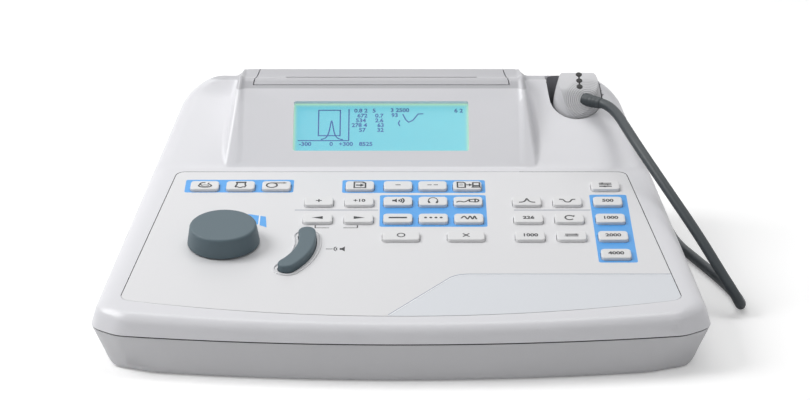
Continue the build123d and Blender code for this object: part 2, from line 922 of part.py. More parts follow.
def on_facet():
    """Return the plane of the probe's top facet."""
    middle = facet_middle()
    slope = radians(facet_angle)
    return Plane(origin=(0, middle[0], middle[1]), x_dir=(1, 0, 0), z_dir=(0, -sin(slope), cos(slope)))


def probe_lamps():
    """Model the three lamps, set flush in the facet."""
    return probe_place * (on_facet().location * sunk(lamp_outline(), 0, lamp_depth))


def boot_frame():
    """Return the plane where the cable's boot leaves the probe, seen along the boot."""
    heading = Vector(*boot_heading_shares)
    exit_point = Vector(boot_exit_side, -boot_exit_front, boot_exit_height)
    return Plane(origin=exit_point, z_dir=heading)


def probe_handle():
    """Model the probe's body: a bullet that seats in the cradle, with its slanting top."""
    waist_height = probe_neck_height + (probe_radius - probe_neck_radius) / seat_slope
    profile = make_face([
        Line((0, probe_neck_height), (probe_neck_radius, probe_neck_height)),
        Line((probe_neck_radius, probe_neck_height), (probe_radius, waist_height)),
        Line((probe_radius, waist_height), (probe_radius, probe_waist_height)),
        ThreePointArc(
            (probe_radius, probe_waist_height),
            (probe_shoulder_radius, probe_shoulder_height),
            (probe_top_radius, probe_top_height),
        ),
        Line((probe_top_radius, probe_top_height), (0, probe_top_height)),
        Line((0, probe_top_height), (0, probe_neck_height)),
    ])
    bullet = revolve(Plane.XZ * profile, Axis.Z)
    reach = probe_radius + overrun
    chord = (-probe_chord, probe_chord_height)
    facet_end = offset_point(chord, facet_angle, facet_length)
    drop = probe_back_radius + probe_back_drop
    outline = make_face(Polyline(
        (-reach, probe_neck_height - overrun),
        (-reach, probe_chord_height - probe_front_drop),
        chord,
        facet_end,
        (reach, facet_end[1] - drop),
        (reach, probe_neck_height - overrun),
        close=True,
    ))
    for point, radius in ((chord, probe_front_radius), (facet_end, probe_back_radius)):
        corner = outline.vertices().sort_by_distance((point[0], point[1], 0))[0]
        outline = fillet(corner, radius)
    body = bullet & extrude(Plane.YZ * outline, reach, both=True)
    body -= on_facet().location * sunk(lamp_outline(), -overrun, lamp_depth)
    socket = boot_frame().location * sunk(Circle(boot_radius), -boot_length, boot_root)
    return probe_place * (body - socket)


def boot_profile():
    """Draw half the boot: a plain root and a taper down to the cable."""
    end_radius = cable_diameter / 2 + boot_end_margin
    return make_face(Polyline(
        (0, -boot_root),
        (boot_radius, -boot_root),
        (boot_radius, boot_root),
        (end_radius, boot_length - boot_root),
        (0, boot_length - boot_root),
        close=True,
    ))


def probe_strain_relief():
    """Model the tapered boot where the cable leaves the probe."""
    boot = revolve(Plane.XZ * boot_profile(), Axis.Z)
    return probe_place * (boot_frame().location * boot)


def probe_nose():
    """Model the tip under the probe with its fine channel."""
    top = probe_neck_height
    low = top - nose_length
    profile = make_face(Polyline(
        (nose_channel_radius, low),
        (nose_tip_radius, low),
        (nose_waist_radius, top - 2 * nose_collar_height),
        (nose_collar_radius, top - nose_collar_height),
        (nose_collar_radius, top),
        (nose_channel_radius, top),
        close=True,
    ))
    return probe_place * revolve(Plane.XZ * profile, Axis.Z)


def cable_start():
    """Return where the cable comes out of the boot and which way it points."""
    frame = Plane(probe_place * boot_frame().location)
    return frame.origin + frame.z_dir * (boot_length - boot_root), frame.z_dir


def coil_point(turn):
    """Return the place and the heading on the coil, in turns from its innermost point."""
    half_way = turn / climb_turns
    if abs(half_way) < 1:
        radius = coil_inner_radius + coil_turn_step * climb_turns * half_way ** 2 / 2
        rise = coil_layer_step * ((half_way + 1) / 2 + sin(pi * half_way) / (2 * pi))
    else:
        radius = coil_inner_radius + coil_turn_step * (abs(turn) - climb_turns / 2)
        rise = coil_layer_step if turn > 0 else 0
    angle = -pi / 2 - 2 * pi * turn
    place = Vector(
        coil_centre_x + radius * cos(angle),
        coil_centre_y + radius * sin(angle),
        cable_rest_height + rise,
    )
    return place


def coil_heading(turn):
    """Return the direction of travel on the coil, in turns from its innermost point."""
    if turn in (-coil_turns_inward, coil_turns_outward):
        angle = -pi / 2 - 2 * pi * turn
        return Vector(sin(angle), -cos(angle), 0)
    return (coil_point(turn + small_turn) - coil_point(turn - small_turn)).normalized()


def biarc(start, start_heading, end, end_heading):
    """Join two places by two arcs that leave and arrive along the given headings."""
    reach = end - start
    both = start_heading + end_heading
    spread = 2 * (1 - start_heading.dot(end_heading))
    along = reach.dot(both)
    arm = (sqrt(along ** 2 + spread * reach.dot(reach)) - along) / spread
    first_corner = start + start_heading * arm
    second_corner = end - end_heading * arm
    middle = (first_corner + second_corner) / 2
    return [
        TangentArc(start, middle, tangent=start_heading),
        TangentArc(middle, end, tangent=second_corner - first_corner),
    ]


def coil_path():
    """Draw the coiled cable's centre line, with a straight end of one diameter at each side."""
    quarters = round((coil_turns_inward + coil_turns_outward) * 4)
    turns = [-coil_turns_inward + quarter / 4 for quarter in range(quarters + 1)]
    places = [coil_point(turn) for turn in turns]
    headings = [coil_heading(turn) for turn in turns]
    edges = [Line(places[0] - headings[0] * cable_diameter, places[0])]
    for step in range(quarters):
        edges += biarc(places[step], headings[step], places[step + 1], headings[step + 1])
    edges.append(Line(places[-1], places[-1] + headings[-1] * cable_diameter))
    return Wire([edge for line in edges for edge in line.edges()])


def coil_gap():
    """Measure the least gap between the turns of the coil on points along it."""
    samples = round((coil_turns_inward + coil_turns_outward) * coil_samples)
    turns = [-coil_turns_inward + sample / coil_samples for sample in range(samples + 1)]
    places = [coil_point(turn) for turn in turns]
    least = coil_inner_radius
    for first in range(len(places)):
        for second in range(first + coil_samples // 2, len(places)):
            least = min(least, (places[first] - places[second]).length)
    return least - cable_diameter


def corner_radii(points):
    """Work out the largest arc that each corner of a route has room for."""
    radii = []
    for before, corner, after in zip(points, points[1:], points[2:]):
        arriving = corner - before
        leaving = after - corner
        shorter = min(arriving.length, leaving.length)
        radii.append(arc_share * shorter / tan(radians(arriving.get_angle(leaving) / 2)))
    return radii


def route_tube(points):
    """Model the cable along a route of straight runs and tangent arcs."""
    radii = corner_radii(points)
    print("Arc radii of the cable:", [round(radius, 1) for radius in radii])
    return tube(FilletPolyline(*points, radius=radii))


def tube(path):
    """Sweep the cable's round section along a path."""
    section = Plane(origin=path @ 0, z_dir=path % 0) * Circle(cable_diameter / 2)
    return sweep(section, path=path)


def probe_cable_run():
    """Model the stretch of cable from the boot to the coil."""
    start, heading = cable_start()
    coil_start = coil_path() @ 0
    points = [start, start + heading * cable_lead]
    points += [Vector(*point) for point in cable_run_points]
    points += [coil_start - coil_heading(-coil_turns_inward) * coil_run_in, coil_start]
    return route_tube(points)


def probe_cable_coil():
    """Model the coiled length of the cable as one tube."""
    print("Least gap between the turns of the coil:", round(coil_gap(), 2))
    return tube(coil_path())


def probe_cable_tail():
    """Model the stretch of cable from the coil to the plug."""
    start = coil_path() @ 1
    plug_end = rear_y + socket_flange_thickness + plug_length
    points = [start, start + coil_heading(coil_turns_outward) * coil_run_in]
    points += [Vector(*point) for point in cable_tail_points]
    points += [
        Vector(probe_socket_x, plug_end + plug_run_in, socket_height),
        Vector(probe_socket_x, plug_end, socket_height),
    ]
    return route_tube(points)


def from_back(x, sketch, start, end):
    """Extrude a sketch, seen from behind the case, between two places in depth."""
    plane = Plane(origin=(x, end, socket_height), x_dir=(-1, 0, 0), z_dir=(0, 1, 0))
    return extrude(plane * sketch, start - end)


main_board_top = main_board_height + board_thickness
socket_height = main_board_top + jack_body_size / 2
body_end_y = rear_surface(main_board_top + jack_body_size) - wall - panel_fit
flange_face_y = rear_y + socket_flange_thickness


def jack_places():
    """List where the headphone jacks stand across the back."""
    return [jack_x + jack_pitch * step for step in range(jack_count)]


def phone_jacks():
    """Model the headphone jacks on the main board."""
    body = Rectangle(jack_body_size, jack_body_size)
    nose_end = rear_y + jack_nose
    jacks = []
    for x in jack_places():
        jack = from_back(x, body, body_end_y - jack_body_length, body_end_y)
        jack += from_back(x, Circle(jack_bush_radius), body_end_y, nose_end)
        jack -= from_back(x, Circle(jack_bore_radius), nose_end - jack_bore_length, nose_end + overrun)
        jacks.append(jack)
    return gather(jacks)


def power_inlet():
    """Model the low-voltage inlet with the pin in its bore."""
    bore = Circle(inlet_bore_radius) - Circle(inlet_pin_radius)
    inlet = from_back(
        inlet_x, Rectangle(inlet_width, inlet_height), body_end_y - inlet_length, body_end_y
    )
    inlet += from_back(inlet_x, Circle(inlet_nose_radius), body_end_y, rear_y)
    return inlet - from_back(inlet_x, bore, rear_y - inlet_bore_length, rear_y + overrun)


def probe_socket():
    """Model the round socket of the probe, with its flange outside the back wall."""
    socket = from_back(probe_socket_x, Circle(socket_radius), flange_face_y - socket_length, rear_y)
    socket += from_back(probe_socket_x, Circle(socket_flange_radius), rear_y, flange_face_y)
    depth = plug_nose_length + panel_fit
    bore = Circle(plug_nose_radius + plug_clearance)
    return socket - from_back(probe_socket_x, bore, flange_face_y - depth, flange_face_y + overrun)


def probe_plug():
    """Model the plug of the probe's cable, seated in its socket."""
    nose_end = flange_face_y - plug_nose_length
    plug_end = flange_face_y + plug_length
    plug = from_back(probe_socket_x, Circle(plug_radius), flange_face_y, plug_end)
    plug = chamfer(plug.faces().sort_by(Axis.Y)[-1].edges(), plug_radius - cable_diameter / 2 - boot_end_margin)
    return plug + from_back(probe_socket_x, Circle(plug_nose_radius), nose_end, flange_face_y)


def rear_pads():
    """Model the flat pads on the leaning back wall that the sockets sit in."""
    inner = rear_y - wall
    jack_span = jack_pitch * (jack_count - 1)
    height = jack_body_size + 2 * pad_margin
    wide = jack_span + jack_body_size + 2 * pad_margin
    jack_pad = RectangleRounded(wide, height, pad_margin)
    inlet_pad = RectangleRounded(inlet_width + 2 * pad_margin, height, pad_margin)
    return [
        from_back(jack_x + jack_span / 2, jack_pad, inner, rear_y),
        from_back(inlet_x, inlet_pad, inner, rear_y),
        from_back(probe_socket_x, Circle(socket_flange_radius + pad_margin / 2), inner, rear_y),
    ]


def socket_openings():
    """Cut the holes of the back wall for the jacks, the inlet and the probe's socket."""
    start, end = body_end_y - wall, rear_y + overrun
    cuts = [from_back(x, Circle(jack_bush_radius + panel_fit), start, end) for x in jack_places()]
    cuts.append(from_back(inlet_x, Circle(inlet_nose_radius + panel_fit), start, end))
    cuts.append(from_back(probe_socket_x, Circle(socket_radius + panel_fit), start, end))
    return cuts


def main_board_places():
    """List the places of the main board's posts."""
    width = main_board_right - main_board_left
    depth = main_board_back - main_board_front
    return [
        (main_board_left + side * width, main_board_front + along * depth)
        for side, along in main_post_shares
    ]


main_board_back = rear_surface(main_board_height) - wall - main_board_back_gap


def upright(sketch, low, high):
    """Extrude a sketch seen from above between two heights."""
    return Pos(0, 0, low) * extrude(sketch, high - low)


def main_board():
    """Model the main board with its larger chips."""
    width = main_board_right - main_board_left
    depth = main_board_back - main_board_front
    middle = Pos((main_board_right + main_board_left) / 2, (main_board_back + main_board_front) / 2)
    outline = middle * Rectangle(width, depth)
    for x, y in main_board_places():
        outline -= Pos(x, y) * Circle(stake_radius + stake_clearance)
    pieces = [upright(outline, main_board_height, main_board_top)]
    for side, along, size in chip_shares:
        place = Pos(main_board_left + side * width, main_board_front + along * depth)
        chip = place * Rectangle(size * depth, size * depth)
        pieces.append(upright(chip, main_board_top, main_board_top + board_chip_height))
    return gather(pieces)


pump_centre_z = foot_clearance + wall + pump_saddle_gap + pump_radius


def along_x(radius, start, end):
    """Model a lying cylinder of the pump between two places from left to right."""
    middle = Plane(origin=(start, pump_y, pump_centre_z), z_dir=(1, 0, 0))
    return extrude(middle * Circle(radius), end - start)


def air_pump():
    """Model the small air pump with its motor and its nozzle."""
    start = pump_x - pump_length
    pump = along_x(pump_radius, start, pump_x) + along_x(motor_radius, pump_x, pump_x + motor_length)
    return pump + along_x(pump_nozzle_radius, start - pump_nozzle_length, start)


def pump_saddles():
    """Model the two saddles in the lower case that the pump lies in."""
    floor = foot_clearance + wall / 2
    saddles = []
    for radius, middle in ((pump_radius, pump_x - pump_length / 2), (motor_radius, pump_x + motor_length / 2)):
        top = pump_centre_z - radius / 2
        half = pump_saddle_width / 2
        block = Pos(middle, pump_y) * Rectangle(pump_saddle_width, 2 * radius)
        seat = along_x(radius + seat_gap, middle - half - overrun, middle + half + overrun)
        saddles.append(upright(block, floor, top) - seat)
    return saddles


def mirrored(places):
    """List places on the right and on the left of the middle."""
    return [(side * x, y) for x, y in places for side in (-1, 1)]


screw_places = mirrored([
    (screw_front_x, screw_front_y),
    (screw_middle_x, screw_middle_y),
    (screw_rear_x, screw_rear_y),
])
foot_places = mirrored([
    (case_rear_width / 2 - lower_draft - foot_inset_x, front_y + lower_draft + foot_inset_y),
    (case_rear_width / 2 - lower_draft - foot_inset_x, rear_y - lower_draft - foot_inset_y),
])
screw_shelf = seam_height - screw_shelf_depth


def round_at(place, radius, low, high):
    """Model an upright cylinder at a place between two heights."""
    return upright(Pos(*place) * Circle(radius), low, high)


def case_screws():
    """Model the screws that hold the two halves of the case together."""
    screws = []
    for place in screw_places:
        head = round_at(place, screw_head_radius, screw_shelf - screw_head_height, screw_shelf)
        screws.append(head + round_at(place, screw_radius, screw_shelf, screw_shelf + screw_length))
    return gather(screws)


def rubber_feet():
    """Model the four feet, set in shallow recesses."""
    feet = [round_at(place, foot_radius, 0, foot_clearance + foot_recess) for place in foot_places]
    return gather([chamfer(foot.faces().sort_by(Axis.Z)[0].edges(), foot_recess / 2) for foot in feet])


def upper_case(outer):
    """Model the top shell with its bosses, cradle, paper bay and openings."""
    trim = case_solid(wall / 2)
    inside = [round_at(place, boss_radius, seam_height, case_ceiling) for place in screw_places]
    inside.append(cradle_body())
    for x, place in board_posts():
        post = Circle(board_post_radius)
        stake = Circle(stake_radius)
        inside.append(on_panel(x, place) * (
            sunk(post, wall / 2, key_board_depth) + sunk(stake, wall / 2, key_board_depth + board_thickness + stake_end)
        ))
    shell = outer - case_solid(wall)
    shell += [part & trim for part in inside] + hinge_ears() + rear_pads()
    cuts = [key_plane.location * sunk(fascia_outline(fascia_gap), -overrun, fascia_thickness)]
    cuts += [key_plane.location * cut for cut in panel_openings(-overrun, wall + overrun)]
    cuts.append(on_face() * sunk(
        RectangleRounded(window_width, window_height, window_corner), -overrun, wall + overrun
    ))
    cuts.append(cover_prism(cover_gap, cover_hinge_height - barrel_radius - hinge_swing_gap))
    cuts.append(cradle_well())
    cuts += socket_openings()
    bore_half = cover_half_width(hinge_y) + cover_gap + hinge_pin_length + hinge_swing_gap
    cuts.append(across(
        Pos(hinge_y, cover_hinge_height) * Circle(hinge_pin_radius + pin_clearance), bore_half
    ))
    pilot_end = screw_shelf + screw_length + screw_end_gap
    cuts += [
        round_at(place, screw_radius + screw_clearance, seam_height - overrun, pilot_end)
        for place in screw_places
    ]
    shell -= cuts
    return shell + paper_bay(case_solid(cover_thickness + bay_rest_gap))


def lower_shell(inset, low):
    """Model the solid lower half, drawn in by an inset, down to a height."""
    share = (seam_height - low) / (seam_height - foot_clearance)
    return loft([
        Pos(0, 0, low) * plan_outline(inset + lower_draft * share),
        Pos(0, 0, seam_height) * plan_outline(inset),
    ], ruled=True)


def bottom_rounded(shell, radius):
    """Round the bottom edge of a shell."""
    return fillet(shell.faces().sort_by(Axis.Z)[0].edges(), radius)


def lower_case():
    """Model the bottom shell with its lip, bosses, posts, saddles and recesses for the feet."""
    floor = foot_clearance + wall
    shell = bottom_rounded(lower_shell(0, foot_clearance), lower_edge_radius)
    shell -= bottom_rounded(lower_shell(wall, floor), lower_edge_radius - wall)
    lip_inset = wall + lip_height * tan(radians(side_lean_angle)) + lip_gap
    lip_inner = plan_outline(lip_inset + lip_thickness)
    root = upright(plan_outline(wall / 2) - lip_inner, seam_height - lip_root, seam_height)
    lip = upright(plan_outline(lip_inset) - lip_inner, seam_height - lip_root, seam_height + lip_height)
    inside = [round_at(place, boss_radius, floor - wall / 2, seam_height) for place in screw_places]
    for place in main_board_places():
        post = round_at(place, standoff_radius, floor - wall / 2, main_board_height)
        inside.append(post + round_at(place, stake_radius, floor, main_board_top + stake_end))
    shell += [root, lip] + inside + pump_saddles()
    groove = plan_outline(-overrun) - plan_outline(seam_groove)
    cuts = [upright(groove, seam_height - seam_groove, seam_height + overrun)]
    for place in screw_places:
        cuts.append(round_at(
            place, screw_head_radius + screw_channel_clearance, foot_clearance - overrun, screw_shelf
        ))
        cuts.append(round_at(
            place, screw_radius + screw_channel_clearance, foot_clearance, seam_height + overrun
        ))
    cuts += [
        round_at(place, foot_radius + seat_gap, foot_clearance - overrun, foot_clearance + foot_recess)
        for place in foot_places
    ]
    return shell - cuts


def model():
    """Build every piece and return them by name."""
    outer = blended_case()
    pieces = {
        "upper_case": upper_case(outer),
        "lower_case": lower_case(),
        "keypad_overlay": keypad_overlay(),
        "display_window": display_window(),
        "lcd_module": lcd_module(),
        "attenuator_knob": attenuator_knob(),
        "knob_shaft": knob_shaft(),
        "knob_encoder": knob_encoder(),
        "present_bar": present_bar(),
        "key_board": key_board(),
        "key_switches": key_switches(),
        "printer_cover": printer_cover(outer),
        "printer_mechanism": printer_mechanism(),
        "platen_roller": platen_roller(),
        "paper_roll": paper_roll(),
        "probe_handle": probe_handle(),
        "probe_nose": probe_nose(),
        "probe_lamps": probe_lamps(),
        "probe_strain_relief": probe_strain_relief(),
        "probe_cable_run": probe_cable_run(),
        "probe_cable_coil": probe_cable_coil(),
        "probe_cable_tail": probe_cable_tail(),
        "probe_plug": probe_plug(),
        "probe_socket": probe_socket(),
        "phone_jacks": phone_jacks(),
        "power_inlet": power_inlet(),
        "main_board": main_board(),
        "air_pump": air_pump(),
        "case_screws": case_screws(),
        "rubber_feet": rubber_feet(),
    }
    for name, (x, place, width) in key_table().items():
        pieces[name] = on_panel(x, place) * key(width)
    return pieces


if __name__ == "__main__":
    os.makedirs("parts", exist_ok=True)
    for name, piece in model().items():
        export_step(piece, f"parts/{name}.step")
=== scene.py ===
"""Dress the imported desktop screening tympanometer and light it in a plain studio.

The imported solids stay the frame. The keys, knob, tone bar, display and cable, and the probe's
body, lamps and boot, are made here as finer surfaces. The two shells and the printer's lid are
shown by copies that are eased to the photographed outline. The panel gets its printed marks,
and every piece its finish. All lengths are metres in the frame of the part, unless a class says
millimetres: X right, Y back, Z up, with the origin on the table under the middle of the case.
"""

from __future__ import annotations

import json
import logging
from collections.abc import Callable, Sequence
from dataclasses import dataclass, field
from enum import Enum
from math import cos, pi, radians, sin

import bmesh
import bpy
import numpy as np
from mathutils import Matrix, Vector

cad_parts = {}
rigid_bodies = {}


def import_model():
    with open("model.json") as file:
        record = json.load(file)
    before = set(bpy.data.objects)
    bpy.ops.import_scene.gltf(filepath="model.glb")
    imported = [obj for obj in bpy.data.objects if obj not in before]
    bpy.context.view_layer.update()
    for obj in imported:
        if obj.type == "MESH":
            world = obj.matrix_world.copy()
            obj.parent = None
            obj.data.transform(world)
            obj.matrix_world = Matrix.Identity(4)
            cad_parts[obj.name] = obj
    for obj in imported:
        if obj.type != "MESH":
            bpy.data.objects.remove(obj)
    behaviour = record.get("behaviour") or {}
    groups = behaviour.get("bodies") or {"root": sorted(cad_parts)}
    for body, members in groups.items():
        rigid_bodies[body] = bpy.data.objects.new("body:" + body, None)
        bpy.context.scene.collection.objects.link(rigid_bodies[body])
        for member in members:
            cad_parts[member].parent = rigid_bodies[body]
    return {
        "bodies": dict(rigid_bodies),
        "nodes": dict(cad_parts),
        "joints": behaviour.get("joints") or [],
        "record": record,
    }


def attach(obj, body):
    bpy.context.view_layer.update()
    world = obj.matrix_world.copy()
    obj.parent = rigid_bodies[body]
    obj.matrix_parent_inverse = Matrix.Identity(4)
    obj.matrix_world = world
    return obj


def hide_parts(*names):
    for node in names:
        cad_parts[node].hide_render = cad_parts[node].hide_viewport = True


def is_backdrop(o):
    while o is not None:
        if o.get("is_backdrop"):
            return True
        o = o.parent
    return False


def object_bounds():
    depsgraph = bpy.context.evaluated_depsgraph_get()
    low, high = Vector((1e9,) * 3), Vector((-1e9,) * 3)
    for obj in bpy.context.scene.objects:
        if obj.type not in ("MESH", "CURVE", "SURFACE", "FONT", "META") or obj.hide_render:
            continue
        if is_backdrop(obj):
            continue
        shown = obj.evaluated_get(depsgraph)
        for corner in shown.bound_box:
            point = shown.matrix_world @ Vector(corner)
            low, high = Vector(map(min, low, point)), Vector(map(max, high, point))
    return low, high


MM = 0.001
Array = np.ndarray
Colour = tuple[float, float, float]
log = logging.getLogger("tympanometer")


# Places and shapes


@dataclass(frozen=True)
class Slope:
    """A flat sloping face of the case: pieces are placed across it, up it and above it."""

    middle_x: float
    front_y: float
    front_z: float
    angle: float

    def place(self, points: Array) -> Array:
        """Carry points from the face to the frame: a turn about X by the slope, then a shift.

        Args:
            points: Rows of across, up the slope and lift, in metres.

        Returns:
            The same rows as X, Y and Z.
        """
        across, along, lift = points[:, 0], points[:, 1], points[:, 2]
        y = self.front_y + along * cos(self.angle) - lift * sin(self.angle)
        z = self.front_z + along * sin(self.angle) + lift * cos(self.angle)
        return np.column_stack((self.middle_x + across, y, z))

    def along(self, y: Array | Socket, z: Array | Socket) -> Array | Socket:
        """Return how far up the slope places of the frame lie, as arrays or in a shader."""
        return (y - self.front_y) * cos(self.angle) + (z - self.front_z) * sin(self.angle)

    def lift(self, y: Array, z: Array) -> Array:
        """Return how far above the slope places of the frame lie."""
        return (z - self.front_z) * cos(self.angle) - (y - self.front_y) * sin(self.angle)


# The heights between which the groove of the seam lies
SEAM_LOW = 24.5 * MM
SEAM_HIGH = 25.4 * MM
# The walls of the panel's pocket: from where to where up the slope, and how deep under it
PANEL_GAP_FRONT = -6 * MM
PANEL_GAP_BACK = 192 * MM
PANEL_GAP_TOP = -0.25 * MM
PANEL_GAP_FLOOR = -1.2 * MM
# The probe's cradle: its middle, its turn, its radius and the height of its floor
CRADLE_X = 119.8 * MM
CRADLE_Y = 118.0 * MM
CRADLE_YAW = radians(8.0)
CRADLE_RADIUS = 18.5 * MM
CRADLE_FLOOR = 40.0 * MM
# The part of a normal's length above which a face is level, and below which it is upright
LEVEL_SHARE = 0.99
UPRIGHT_SHARE = 0.1
# The middle of the knob on the panel, which the tone bar bends round, in millimetres
KNOB_X = -112.0
KNOB_ALONG = 91.0
# How close two points are merged, in a piece made here and in a copied shell
MERGE_REACH = 0.002 * MM
COPY_MERGE_REACH = 0.005 * MM
# The angle in degrees from which an edge of a copied shell stays sharp
SHELL_SHARP = 28
# A floor for the cosine that a band's corner divides by, and the most that the corner widens
LEAST_COSINE = 0.4
MOST_WIDENING = 1.6
RegionTest = Callable[[Array, Array], Array]
PANEL = Slope(0, -133 * MM, 36 * MM, radians(7.6))
DISPLAY_FACE = Slope(-13.8 * MM, 60.29 * MM, 61.79 * MM, radians(39.5))


def ring_faces(rows: int, columns: int, first: int = 0) -> list[tuple[int, ...]]:
    """List the quads between rows of closed rings: each joins a point to its next and the row above.

    Args:
        rows: How many rings there are.
        columns: How many points each ring has.
        first: The number of the first point.

    Returns:
        The quads as tuples of point numbers.
    """
    row, column = np.meshgrid(np.arange(rows - 1), np.arange(columns), indexing="ij")
    following = (column + 1) % columns
    low, high = row * columns, (row + 1) * columns
    quads = np.stack((low + column, low + following, high + following, high + column), axis=-1)
    return [tuple(quad) for quad in (quads.reshape(-1, 4) + first).tolist()]


def closed_rings(rings: Array) -> tuple[Array, list[tuple[int, ...]]]:
    """Skin a stack of rings and close both ends with one face each.

    Args:
        rings: An array of rows by columns by 3.

    Returns:
        The points and the faces.
    """
    rows, columns = rings.shape[:2]
    faces = ring_faces(rows, columns)
    faces.append(tuple(range(columns - 1, -1, -1)))
    faces.append(tuple(range((rows - 1) * columns, rows * columns)))
    return rings.reshape(-1, 3), faces


def revolved(profile: Array, columns: int) -> Array:
    """Turn a profile about an axis: each point (r, h) gives the circle (r cos t, r sin t, h).

    Args:
        profile: Rows of radius and height.
        columns: How many points each circle has.

    Returns:
        The rings, rows by columns by 3.
    """
    turn = np.linspace(0, 2 * pi, columns, endpoint=False)
    radius, height = profile[:, :1], profile[:, 1:]
    return np.stack((radius * np.cos(turn), radius * np.sin(turn), height + 0 * turn), axis=-1)


def rounded_edge(radius: float, top: float, steps: int) -> Array:
    """Give a quarter round as insets r (1 - cos a) and heights top - r (1 - sin a).

    Args:
        radius: The radius of the round.
        top: The height that it ends at.
        steps: How many points it has.

    Returns:
        Rows of inset and height, from the wall up to the top.
    """
    angle = np.linspace(0, pi / 2, steps)
    return np.column_stack((radius * (1 - np.cos(angle)), top - radius * (1 - np.sin(angle))))


def rounded_rectangle(width: float, depth: float, corner: float, insets: Array, steps: int) -> Array:
    """Draw nested rounded rectangles: a corner's centre plus its shrunken radius times (cos t, sin t).

    Args:
        width: The size across.
        depth: The size up the slope.
        corner: The corner radius of the outermost one.
        insets: How far each rectangle is drawn in.
        steps: How many points each corner has.

    Returns:
        The flat rings, insets by points by 2.
    """
    quarter = np.repeat(np.arange(4), steps)
    turn = (quarter + np.tile(np.linspace(0, 1, steps), 4)) * pi / 2
    side_x = np.array([1, -1, -1, 1])[quarter]
    side_y = np.array([1, 1, -1, -1])[quarter]
    inset = insets[:, None]
    radius = np.maximum(corner - inset, corner / 8)
    x = side_x * (width / 2 - inset - radius) + radius * np.cos(turn)
    y = side_y * (depth / 2 - inset - radius) + radius * np.sin(turn)
    return np.stack((x, y), axis=-1)


def ribbon(path: Array, width: float, closed: bool = False) -> tuple[Array, list[tuple[int, ...]]]:
    """Thicken a flat path to a band: each point moves half the width to both sides of its heading.

    Args:
        path: Rows of two coordinates.
        width: The width of the band.
        closed: Whether the path joins its own start.

    Returns:
        The points of both edges and the quads between them.
    """
    if closed:
        before, after = np.roll(path, 1, axis=0), np.roll(path, -1, axis=0)
    else:
        before = np.vstack((2 * path[0] - path[1], path[:-1]))
        after = np.vstack((path[1:], 2 * path[-1] - path[-2]))
    first, second = path - before, after - path
    first /= np.linalg.norm(first, axis=1)[:, None]
    second /= np.linalg.norm(second, axis=1)[:, None]
    heading = first + second
    heading /= np.linalg.norm(heading, axis=1)[:, None]
    side = np.column_stack((-heading[:, 1], heading[:, 0]))
    cosine = np.maximum((heading * second).sum(axis=1), LEAST_COSINE)
    stretch = np.minimum(1 / cosine, MOST_WIDENING)
    reach = side * (width / 2 * stretch)[:, None]
    count = len(path)
    here = np.arange(count if closed else count - 1)
    there = (here + 1) % count
    quads = np.column_stack((here + count, there + count, there, here))
    return np.vstack((path + reach, path - reach)), [tuple(quad) for quad in quads.tolist()]


def arc(
    centre: tuple[float, float], radii: tuple[float, float], start: float, end: float, steps: int = 24
) -> Array:
    """Draw a flat elliptical arc: the centre plus the radii times (cos t, sin t), angles in degrees.

    Args:
        centre: The middle of the ellipse.
        radii: Its two radii.
        start: The first angle.
        end: The last angle.
        steps: How many points it has.

    Returns:
        Rows of two coordinates.
    """
    turn = np.radians(np.linspace(start, end, steps))
    return np.column_stack((centre[0] + radii[0] * np.cos(turn), centre[1] + radii[1] * np.sin(turn)))


# Shaders


@dataclass(frozen=True)
class Socket:
    """A number that travels through a shader, so that arithmetic on it adds Math nodes."""

    shader: Shader
    output: bpy.types.NodeSocket

    def math(self, operation: str, *others: Socket | float) -> Socket:
        """Return the result of a Math node on this number and the others."""
        return self.shader.math(operation, self, *others)

    def __add__(self, other: Socket | float) -> Socket:
        """Return the sum."""
        return self.math("ADD", other)

    __radd__ = __add__

    def __sub__(self, other: Socket | float) -> Socket:
        """Return the difference."""
        return self.math("SUBTRACT", other)

    def __rsub__(self, other: float) -> Socket:
        """Return a plain number less this one."""
        return self.shader.math("SUBTRACT", other, self)

    def __mul__(self, other: Socket | float) -> Socket:
        """Return the product."""
        return self.math("MULTIPLY", other)

    __rmul__ = __mul__

    def __truediv__(self, other: Socket | float) -> Socket:
        """Return the quotient."""
        return self.math("DIVIDE", other)

    def __abs__(self) -> Socket:
        """Return the size without its sign."""
        return self.math("ABSOLUTE")

    def at_least(self, floor: Socket | float) -> Socket:
        """Return the larger of the two."""
        return self.math("MAXIMUM", floor)

    def at_most(self, ceiling: Socket | float) -> Socket:
        """Return the smaller of the two."""
        return self.math("MINIMUM", ceiling)

    def root(self) -> Socket:
        """Return the square root."""
        return self.math("SQRT")

    def sine(self) -> Socket:
        """Return the sine."""
        return self.math("SINE")

    def ramp(self, start: float, end: float) -> Socket:
        """Return 0 at start and below, 1 at end and above, and a straight line between."""
        return ((self - start) / (end - start)).at_least(0.0).at_most(1.0)


